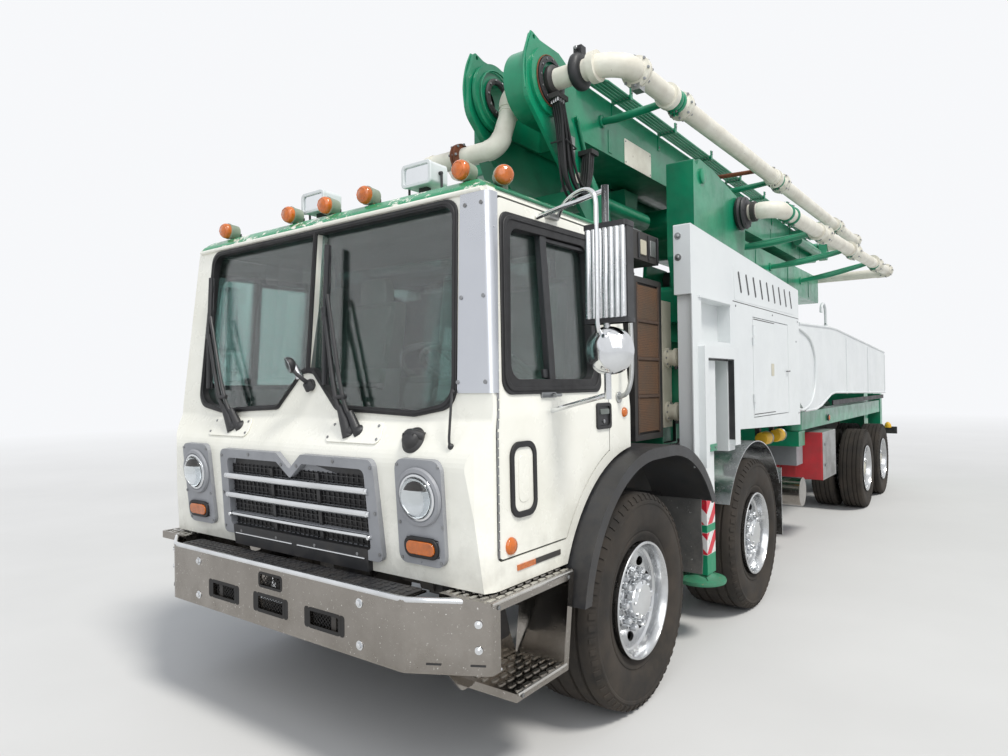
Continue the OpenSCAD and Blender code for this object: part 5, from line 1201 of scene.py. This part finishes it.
def wheel_pieces():
    for k, x, r in ((1, AXLE_1, FRONT_R), (2, AXLE_2, FRONT_R), (3, AXLE_3, REAR_R), (4, AXLE_4, REAR_R)):
        b = Build()
        nut_y = front_wheel(b) if k < 3 else twin_wheel(b)
        b.use("chrome")
        for u, v in around(10, 0.5):
            b.lathe([(23, 0), (23, 10), (19.5, 14), (18.5, 40), (15, 52), (8, 58), (TIP, 59)],
                    (143.6 * v, nut_y, 143.6 * u), Y, 12)
        b.use("rubber").tube([(245, nut_y + 4, 20), (262, nut_y + 30, 20)], 5, 8)
        for side, name in SIDES:
            body = f"wheel_{k}_{name}"
            c = Build()
            c.slots, c.faces, c.mats = b.slots, b.faces, b.mats
            c.verts = [(x + p[0], side * p[1], r + p[2]) for p in b.verts]
            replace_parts(c.make(f"dressed_{body}", "tyre_rubber", body, angle=30), body)


# ---------------------------------------------------------------- jack legs
def leg_pieces():
    for side, name in SIDES:
        # collar and upper box of the front leg's sleeve
        x, y, w = 3410, side * 1130, 88.5

        def square(half, r):
            return rect(x - half, x + half, y - half, y + half, r, 3)

        b = Build("green").ring(square(w + 6, 10), square(w - 11, 2), "Z", 1236, 1282).use("steel")
        for dx in (-50, 50):
            b.bolt((x + dx, y + side * (w + 6), 1259), (0, side, 0), 8, 6)
        b.use("black").ring(square(w - 11, 2), square(76.5, 2), "Z", 1234, 1246)
        b.use("steel").tube([(x - 30, y, 1832), (x + 30, y, 1832)], 8, 8)
        b.make("leg_collar_" + name, "green_paint", "front_arm_" + name, bevel=2)
        # worn rim and gussets of each foot
        for fx, fy, body in ((3410, 1130, "front_leg_" + name), (-4590, 1000, "rear_leg_" + name)):
            b = Build("green_dull").lathe([(161, 4), (163.5, 12), (161, 22), (150, 26.5), (110, 31),
                                           (78, 50), (62, 70)], (fx, side * fy, 380), Z)
            for u, v in around(4, 0.5):
                d, n, c = vec(u, v, 0), vec(-v, u, 0) * 5, vec(fx, side * fy, 404)
                p = [c + d * 55, c + d * 140, c + d * 60 + vec(0, 0, 40)]
                b.add([q + n for q in p] + [q - n for q in p],
                      [(0, 1, 2), (5, 4, 3), (0, 3, 4, 1), (1, 4, 5, 2), (2, 5, 3, 0)])
            b.make("foot_rim_" + body, "green_paint", body)


# ---------------------------------------------------------------- hoses
def hose_pieces():
    """Hydraulic hoses between two blocks on the fork, beside the front hinge."""
    for k in range(12):
        y = 350 + 21 * (k % 4)
        out = -45 + 11.5 * k
        sag = 22 * (k % 3) + 30 * (k // 4)
        points = [(FRONT_X + dx, across, z) for dx, across, z in (
            (-45 + 8 * k, y + 2, 3606), (-50 + 0.6 * out, y, 3500), (-100 + out, y, 3360),
            (-150 + out * 1.2, y, 3200 - sag), (-235 + out, y, 3085 - sag),
            (-345 + out * 0.8, y - 4, 3085 - sag), (-415 + out * 0.7, y - 10, 3200 - sag * 0.6),
            (-437 + out * 0.55, y - 10, 3345))]
        path = smooth_path(points, 5)
        piece = Build("rubber").tube(path, 9.5).make(f"hose_{k + 1}", "black_plastic", "boom_b")


def hose_fittings():
    x = FRONT_X
    b = Build("frame").box(x - 66, x + 62, 331.5, 430, 3598, 3632)
    b.box(x - 485, x - 385, 310.5, 426, 3338, 3372).use("steel")
    for k in range(12):
        y = 352 + 21 * (k % 4)
        b.tube([(x - 45 + 8 * k, y, 3600), (x - 46 + 8 * k, y, 3572)], 11.8, 8)
    b.use("rubber").tube([(x - dx, y, z) for dx, y, z in (
        (150, 312, 3300), (150, 436, 3300), (20, 436, 3330), (20, 312, 3330))], 6, 8)
    b.make("hose_blocks", "black_plastic", "boom_b", bevel=2)


# ---------------------------------------------------------------- boom
def clamp(b, c, axis, radius, width=40, paint="green"):
    """Two-part pipe clamp with its lugs and bolts."""
    c, along, w = Vector(c), Vector(axis).normalized(), width / 2
    b.use(paint).lathe([(radius, -w), (radius + 10, -w + 2), (radius + 15, -w / 2), (radius + 16, 0),
                        (radius + 15, w / 2), (radius + 10, w - 2), (radius, w)], c, along, 32)
    up = Vector(Z) if abs(along.z) < 0.8 else Vector(X)
    across = along.cross(up).normalized()
    for s in (1, -1):
        p = c + up * s * (radius + 20)
        b.use(paint)
        for t in (12, -12):
            q = p + across * t
            b.tube([q - up * s * 20, q + up * s * 12], 9, 6)
        b.use("steel").tube([p - across * 34, p + across * 34], 5.5, 6)
        b.bolt(p + across * 21, across, 10, 10)
        b.bolt(p - across * 21, -across, 10, 10)


def flange(b, c, axis, radius, paint="pipe", bolts=8):
    """Bolted joint of two pipe ends."""
    c, along, w = Vector(c), Vector(axis).normalized(), 25
    b.use(paint).lathe([(radius, -w - 12), (radius + 16, -w), (radius + 32, -w + 2), (radius + 34, -4),
                        (radius + 26, -3), (radius + 26, 3), (radius + 34, 4), (radius + 32, w - 2),
                        (radius + 16, w), (radius, w + 12)], c, along, 36)
    a = along.orthogonal().normalized()
    d = along.cross(a)
    b.use("bezel")
    for u, v in around(bolts):
        p = c + (a * u + d * v) * (radius + 26)
        b.tube([p - along * (w + 10), p + along * (w + 10)], 6, 6)
        for way in (along, -along):
            b.bolt(p + way * (w + 2), way, 10, 9)


def pipe_c_z(x):
    return 3740 + 130 * (3910 - x) / 8160


def hinge_pieces():
    x, z = FRONT_X, FRONT_Z
    # dark ring and hollow pin of the front hinge
    b = Build()
    for y, s in ((331, 1), (-238, -1)):
        b.use("black").lathe([(120, -10), (152, -8), (160, 0), (160, 14), (150, 20), (123, 20)],
                             (x, y, z), (0, s, 0))
        b.use("rust").lathe([(166, -6), (172, 0), (172, 6), (166, 8)], (x, y, z), (0, s, 0))
        b.use("steel")
        for u, v in around(12):
            b.bolt((x + 142 * u, y + s * 19, z + 142 * v), (0, s, 0), 8, 6)
    b.make("fork_rings", "machined_steel", "boom_b")
    b = Build("frame").lathe([(98, -14), (98, 10), (112, 14), (130, 12), (138, 4), (138, -4)], (x, -118, z), Y)
    b.use("steel")
    for u, v in around(10):
        b.bolt((x + 121 * u, -106, z + 121 * v), Y, 8, 8)
    b.use("green").tube([(x + 190 * u, -119, z + 190 * v) for u, v in around(24)], 6, 8, closed=True)
    b.make("cheek_ring", "machined_steel", "boom_c")

    # rolled edges of the fork plates and their crosspieces
    b = Build("green")
    for y in (302, -208):
        b.tube(smooth_path([(x + dx, y, up) for dx, up in (
            (262, 3620), (276, 3740), (262, 3840), (235, 3930), (192, 4017))], 6), 6, 8)
        b.tube([(x + dx, y, up) for dx, up in ((186, 4017), (92, 3990), (-150, 3992), (-352, 3903))], 6, 8)
    for dx, up in ((-860, 2860), (-600, 3080)):
        b.tube([(x + dx, -160, up), (x + dx, 270, up)], 12, 8)
    b.make("fork_edges", "green_paint", "boom_b")

    # green strut from the fork down to B
    b = Build("green").tube([(x - 360, 325, 3600), (x - 640, 325, 2980)], 14, 10)
    for dx, up in ((-360, 3600), (-640, 2980)):
        b.tube([(x + dx, 310, up), (x + dx, 335, up)], 22, 10)
    b.make("fork_strut", "green_paint", "boom_b")
    b = Build("plate").box(x - 345, x - 285, 310.2, 312.5, 3300, 3460)
    b.use("pipe").box(x - 415, x - 345, 310.2, 312.5, 3140, 3220)
    b.make("blank_plates", "machined_steel", "boom_b", bevel=1)


def pipe_pieces():
    x, z = FRONT_X, FRONT_Z
    slope = (1, 0, -0.016)

    def on_c(at, part, *rest):
        part(b, (at, PIPE_C_Y, pipe_c_z(at)), slope, 70, *rest)

    # pipe on C: dark clamp ring, flange at the elbow, clamps and joints along the section
    b = Build("black").lathe([(70, -40), (100, -36), (118, -20), (122, 0), (118, 20), (100, 36), (70, 40)],
                             (x, 560, z), Y, 40)
    b.box(x - 30, x + 30, 530, 590, 3845, 3905)
    b.use("steel").tube([(x - 50, 560, 3882), (x + 50, 560, 3882)], 8, 8)
    b.bolt((x + 45, 560, 3882), X, 14, 14)
    b.use("frame").lathe([(70.5, 0), (98, 4), (100, 30), (86, 46), (70.5, 50)], (x, 336, z), Y, 40)
    flange(b, (x - 245, PIPE_C_Y, pipe_c_z(x - 245)), (-1, 0, 0.016), 70)
    b.use("plate").box(x - 300, x - 220, 820, 880, 3620, 3680)
    on_c(3020, clamp)
    for at in STRUTS_C:
        on_c(at, clamp, 50)
        on_c(at - 160, flange)
    on_c(CD_X + 270, flange)
    on_c(520, clamp, 60, "pipe")
    b.make("pipe_c_clamps", "pipe_paint", "boom_c")

    # pipe on A, with the dark turning joint at its root
    x, z = TURRET_X, TURRET_Z
    b = Build("black").lathe([(115, 0), (150, 6), (156, 28), (140, 46), (150, 64), (138, 82), (104, 92),
                              (72, 94)], (x, 787, z), Y, 44)
    for u, v in around(6):
        b.bolt((x + 128 * u, 865, z + 128 * v), Y, 12, 10)
    b.use("frame").lathe([(72, 0), (92, 2), (92, 40), (72, 46)], (x, 905, z), Y, 36)
    root = vec(x, 1130, z)
    line = vec(AB_X, 1240, 3400) - root
    for t in (0.045, 0.075):
        clamp(b, root + line * t, line, 70, 35)
    for k in STRUTS_A:
        p = root + line * ((420 + k * 5250) / 5950)
        clamp(b, p, line, 70, 50)
        flange(b, p + line.normalized() * 250, line, 70)
    flange(b, root + line * 0.955, line, 70)
    b.make("pipe_a_clamps", "pipe_paint", "boom_a")

    b = Build()
    for at in (AB_X + 500 + k * 7550 for k in (0.25, 0.5, 0.75)):
        flange(b, (at, *PIPE_B), X, 66)
        clamp(b, (at - 120, *PIPE_B), X, 66)
    flange(b, (FRONT_X - 672, -700, 3623), (1, 0, -0.03), 66)
    flange(b, (FRONT_X + 130, -360, 3330), Y, 66, "rust")
    b.make("pipe_b_clamps", "pipe_paint", "boom_b")
    b = Build()
    for at in (CD_X + 400 + k * 6800 for k in (0.3, 0.6, 0.9)):
        flange(b, (at, *PIPE_D), X, 62, bolts=6)
        clamp(b, (at - 100, *PIPE_D), X, 62)
    b.make("pipe_d_clamps", "pipe_paint", "boom_d")


def section_pieces():
    # parallel tubes along C's upper edge with their posts
    b = Build("green")
    for k in range(5):
        y = 296 + k * 31
        b.tube([(3460 - 20 * k, y - 30, 3935), (3340 - 20 * k, y, 3944), (3010, y, 3943), (1200, y, 3930),
                (-600, y, 3917), (-2400, y, 3904), (-3600, y, 3896)], 11.5, 10)
    for x in (2900, 2020, 1120, 220, -680, -1580, -2480, -3380):
        z = 3943 - 0.0072 * (3010 - x)
        b.use("green").box(x - 14, x + 14, 262, 440, z - 20, z - 12)
        b.box(x - 14, x + 14, 262, 440, z + 12, z + 18)
        b.box(x - 18, x + 18, 430, 442, z - 26, z + 62).box(x - 18, x + 18, 270, 278, z - 150, z + 18)
        b.use("steel")
        for y, dz, r in ((442, 30, 9), (442, 52, 9), (278, -120, 10)):
            b.bolt((x, y, z + dz), Y, r, 8)
    b.use("rust").tube([(860, 274, 3800), (860, 800, 3782)], 21)
    b.make("boom_tubes", "green_paint", "boom_c", bevel=1)

    # stouter struts towards both pipes
    b = Build("green")
    for x in STRUTS_C:
        z = pipe_c_z(x)
        b.tube(smooth_path([(x, 276, z - 20), (x, 450, z - 30), (x, 700, z - 12), (x, 795, z - 4)], 5), 28)
        b.lathe([(50, 0), (50, 12), (32, 16)], (x, 271.5, z - 20), Y, 20)
    b.make("struts_c", "green_paint", "boom_c")
    b = Build("green")
    for k in STRUTS_A:
        x = TURRET_X - 300 - k * 5250
        p, q = vec(x, 268, 3200), vec(x - 120, 1090 + k * 110, 3250 + 170 * k)
        b.tube(smooth_path([p, p.lerp(q, 0.4) + vec(20, 0, -35), p.lerp(q, 0.8) + vec(10, 0, -20), q], 5), 31)
        b.lathe([(55, 0), (55, 12), (34, 16)], (x, 261.5, 3200), Y, 20)
    b.make("struts_a", "green_paint", "boom_a")

    b = Build("green")
    for k in range(5):
        b.tube([(x, -120 + k * 50, 3398) for x in (1000, -1500, -3900)], 13, 10)
    for x in (700, -300, -1300, -2300, -3300):
        b.box(x - 15, x + 15, -150, 110, 3380, 3386).box(x - 15, x + 15, -150, 110, 3410, 3418)
    b.make("boom_a_tubes", "green_paint", "boom_a")

    b = Build("pipe").prism(rect(2190, 2700, 3500, 3712, 12, 4), "Y", 270.2, 273.5).use("steel")
    for x in (2210, 2680):
        for z in (3520, 3690):
            b.disc(7, (x, 273.5, z), Y, 3, 12)
    b.make("blank_sign", "white_paint", "boom_c")

    # ribs on the long boxes; C has none behind its sign
    b = Build("green")
    for x in (600, -900, -2400, -3600):
        b.box(x - 30, x + 30, 259.5, 266, 3000, 3340).box(x - 30, x + 30, -206, -199.5, 3000, 3340)
    b.make("boom_a_ribs", "green_paint", "boom_a", bevel=2)
    b = Build("green")
    for x in (2950, 1450, -50, -1550, -3050):
        b.box(x - 30, x + 30, 269.5, 274.5, 3520, 3700).box(x - 30, x + 30, -166, -159.5, 3520, 3880)
    b.make("boom_c_ribs", "green_paint", "boom_c", bevel=2)


def turret_pieces():
    x, z = TURRET_X, TURRET_Z
    b = Build("green").lathe([(150, 0), (150, 18), (130, 22), (95, 22), (92, 6)], (x, -780, z), (0, -1, 0), 44)
    for side in (-1, 1):
        b.lathe([(62, 0), (62, 16), (50, 24), (TIP, 26)], (2330, side * 780, 3385), (0, side, 0), 32)
    b.use("steel")
    for u, v in around(8, 0.5):
        b.bolt((x + 134 * u, -799, z + 134 * v), (0, -1, 0), 10, 9)
    b.make("turret_bosses", "green_paint", "turret")
    b = Build("frame")
    for u, v in around(36):
        b.bolt((1910 + 555 * u, 555 * v, 2219.5), Z, 16, 14)
    b.make("slew_bolts", "machined_steel", "turret")


# ---------------------------------------------------------------- materials of the CAD nodes
def paint_nodes():
    for material, names in {
        "cab": "cab_shell door_left door_right",
        "white": "side_housings rear_body hatch_left hatch_right",
        "green": "pedestal hopper hopper_grate turret boom_a boom_b boom_c boom_d front_arm_left "
                 "front_arm_right rear_arm_left rear_arm_right",
        "pipe": "pipe_a pipe_b pipe_c pipe_d",
        "frame": "chassis axles cooler agitator lift_barrel knuckle_1_left knuckle_1_right knuckle_2_left "
                 "knuckle_2_right",
        "steel": "powertrain pump_unit lift_rod rod_b rod_c rod_d",
        "leg": "front_leg_left front_leg_right rear_leg_left rear_leg_right",
        "black": "fenders", "alu": "mudguards", "bright": "bumper", "bezel": "grille lamps",
        "red": "service_boxes", "trim": "cab_interior", "glass": "cab_glass",
        "tyre": " ".join(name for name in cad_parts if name.startswith("wheel")),
    }.items():
        for name in names.split():
            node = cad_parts[name]
            node.data.materials.clear()
            node.data.materials.append(M[material])


Point = namedtuple("Point", "x y z")


def paint_faces(name, *rules):
    """Gives faces of a CAD node another material where rule(centre in mm, normal) holds."""
    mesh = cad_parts[name].data
    for material, rule in rules:
        mesh.materials.append(M[material])
        index = len(mesh.materials) - 1
        for face in mesh.polygons:
            if rule(Point(*(v * 1000 for v in face.center)), face.normal):
                face.material_index = index


def paint_rest():
    def nose_depth(c):
        return (c.x - NOSE_X) * cos(NOSE_TILT) - (c.z - NOSE_Z) * sin(NOSE_TILT)

    paint_faces("grille", ("black", lambda c, n: nose_depth(c) < -12 and abs(n.x) > 0.9))
    paint_faces(
        "lamps", ("frame", lambda c, n: c.z > 2500),
        ("amber", lambda c, n: c.z > 2500 and c.x > A + 1012 and n.x > -0.9),
        ("black", lambda c, n: c.z > 2680 and c.x < A + 970),
        ("chrome", lambda c, n: c.z > 2680 and n.x > 0.9 and c.x < A + 970))
    paint_faces(
        "cab_shell",
        ("trim", lambda c, n: A - 50 < c.x < A + 1150 and abs(c.y) < side_y(c.z) - 35 and 1220 < c.z < 2600
         and not (n.z > 0.2 and c.z > 2300) and c.x < front_x(c.z) - 35),
        ("frame", lambda c, n: n.z < -0.9 and c.z < 1220))
    paint_faces("cab_interior", ("cloth", lambda c, n: c.x < A + 750 and c.z > 1400))
    for side in ("left", "right"):
        paint_faces(
            "door_" + side,
            ("trim", lambda c, n: abs(c.y) < min(side_y(c.z) - 12, 1190) and c.x < A + 1200),
            ("glass", lambda c, n: abs(n.y) > 0.9 and side_y(c.z) - 48 < abs(c.y) < side_y(c.z) - 15
             and A + 310 < c.x < A + 1060 and 1690 < c.z < 2390),
            ("black", lambda c, n: abs(c.y) > 1300),
            ("chrome", lambda c, n: abs(c.y) > 1190 and (c.z < 1940 or c.z > 2375)))
        for leg in ("front_leg_", "rear_leg_"):
            paint_faces(leg + side, ("frame", lambda c, n: 440 < c.z < 482),
                        ("green_dull", lambda c, n: c.z < 440))
        paint_faces(
            "front_arm_" + side, ("white", lambda c, n: abs(c.y) > 1030 and c.x > 3310 and c.z < 1850),
            ("black", lambda c, n: abs(c.y) > 1030 and c.z < 1810 and abs(c.x - 3410) < 81
             and abs(abs(c.y) - 1130) < 81))
    # the parts of the pipes inside the sections
    paint_faces("pipe_a", ("green", lambda c, n: abs(c.y) < 1020 and -4350 < c.x < 1220))
    paint_faces("pipe_b", ("green", lambda c, n: c.y > -630 and -4350 < c.x < 3750))
    paint_faces("pipe_c", ("green", lambda c, n: c.y < 770 and -4050 < c.x < 3750))
    paint_faces("pipe_d", ("green", lambda c, n: c.y > -1170 and -4050 < c.x < 2980))
    paint_faces("cooler", ("cream", lambda c, n: c.x < A - 835))
    paint_faces(
        "service_boxes", ("plate", lambda c, n: abs(c.y) > 758 and c.x < A - 4430 and n.x < 0.9),
        ("bezel", lambda c, n: c.x > A - 4410 and c.z > 790),
        ("bright", lambda c, n: c.x > A - 4020 and c.z < 790))
    paint_faces("hopper", ("black", lambda c, n: c.x < -5700), ("frame", lambda c, n: c.x > -4730))
    paint_faces("powertrain", ("frame", lambda c, n: c.z < 750))
    paint_faces("pedestal", ("frame", lambda c, n: abs(c.y) < 450 and c.z < 1500))


# ---------------------------------------------------------------- floor
def make_floor():
    """Pale disc that fades into the sky away from the machine."""
    n = Nodes("floor")
    n.link("Base Color", n.mix(n.ramp(n.noise(0.35, 4.0), 0.35, 0.65), (0.62, 0.62, 0.61), (0.66, 0.66, 0.65)))
    n.set(Roughness=0.85, Specular_IOR_Level=0.15)
    far = n.math("ADD", *(n.math("POWER", n.math("MULTIPLY", n.axis(axis), 1 / reach), 2.0)
                          for axis, reach in (("X", 34.0), ("Y", 30.0))))
    blend = n.new("MixShader", Fac=n.ramp(n.math("POWER", far, 0.5), 0.16, 0.95))
    for k, source in ((1, n.shader), (2, n.new("Emission", {"Color": SKY}))):
        n.tree.links.new(source.outputs[0], blend.inputs[k])
    n.tree.links.new(blend.outputs[0], n.tree.nodes["Material Output"].inputs["Surface"])
    mesh = bpy.data.meshes.new("floor")
    rows, middle, reach = 48, -0.5, 60
    verts = [(middle, 0.0, 0.0)] + [(middle + reach * u, reach * v, 0.0) for u, v in around(rows)]
    mesh.from_pydata(verts, [], [(0, 1 + k, 1 + (k + 1) % rows) for k in range(rows)])
    mesh.materials.append(n.mat)
    floor = bpy.data.objects.new("floor", mesh)
    bpy.context.collection.objects.link(floor)


make_camera()
make_light()
make_materials()
hose_pieces()
hose_fittings()
paint_nodes()
paint_rest()
shield_pieces()
nose_pieces()
roof_pieces()
bumper_pieces()
door_pieces()
cooler_pieces()
housing_pieces()
low_pieces()
wheel_pieces()
leg_pieces()
hinge_pieces()
pipe_pieces()
section_pieces()
turret_pieces()
make_floor()
bpy.context.scene.view_settings.view_transform = "Standard"
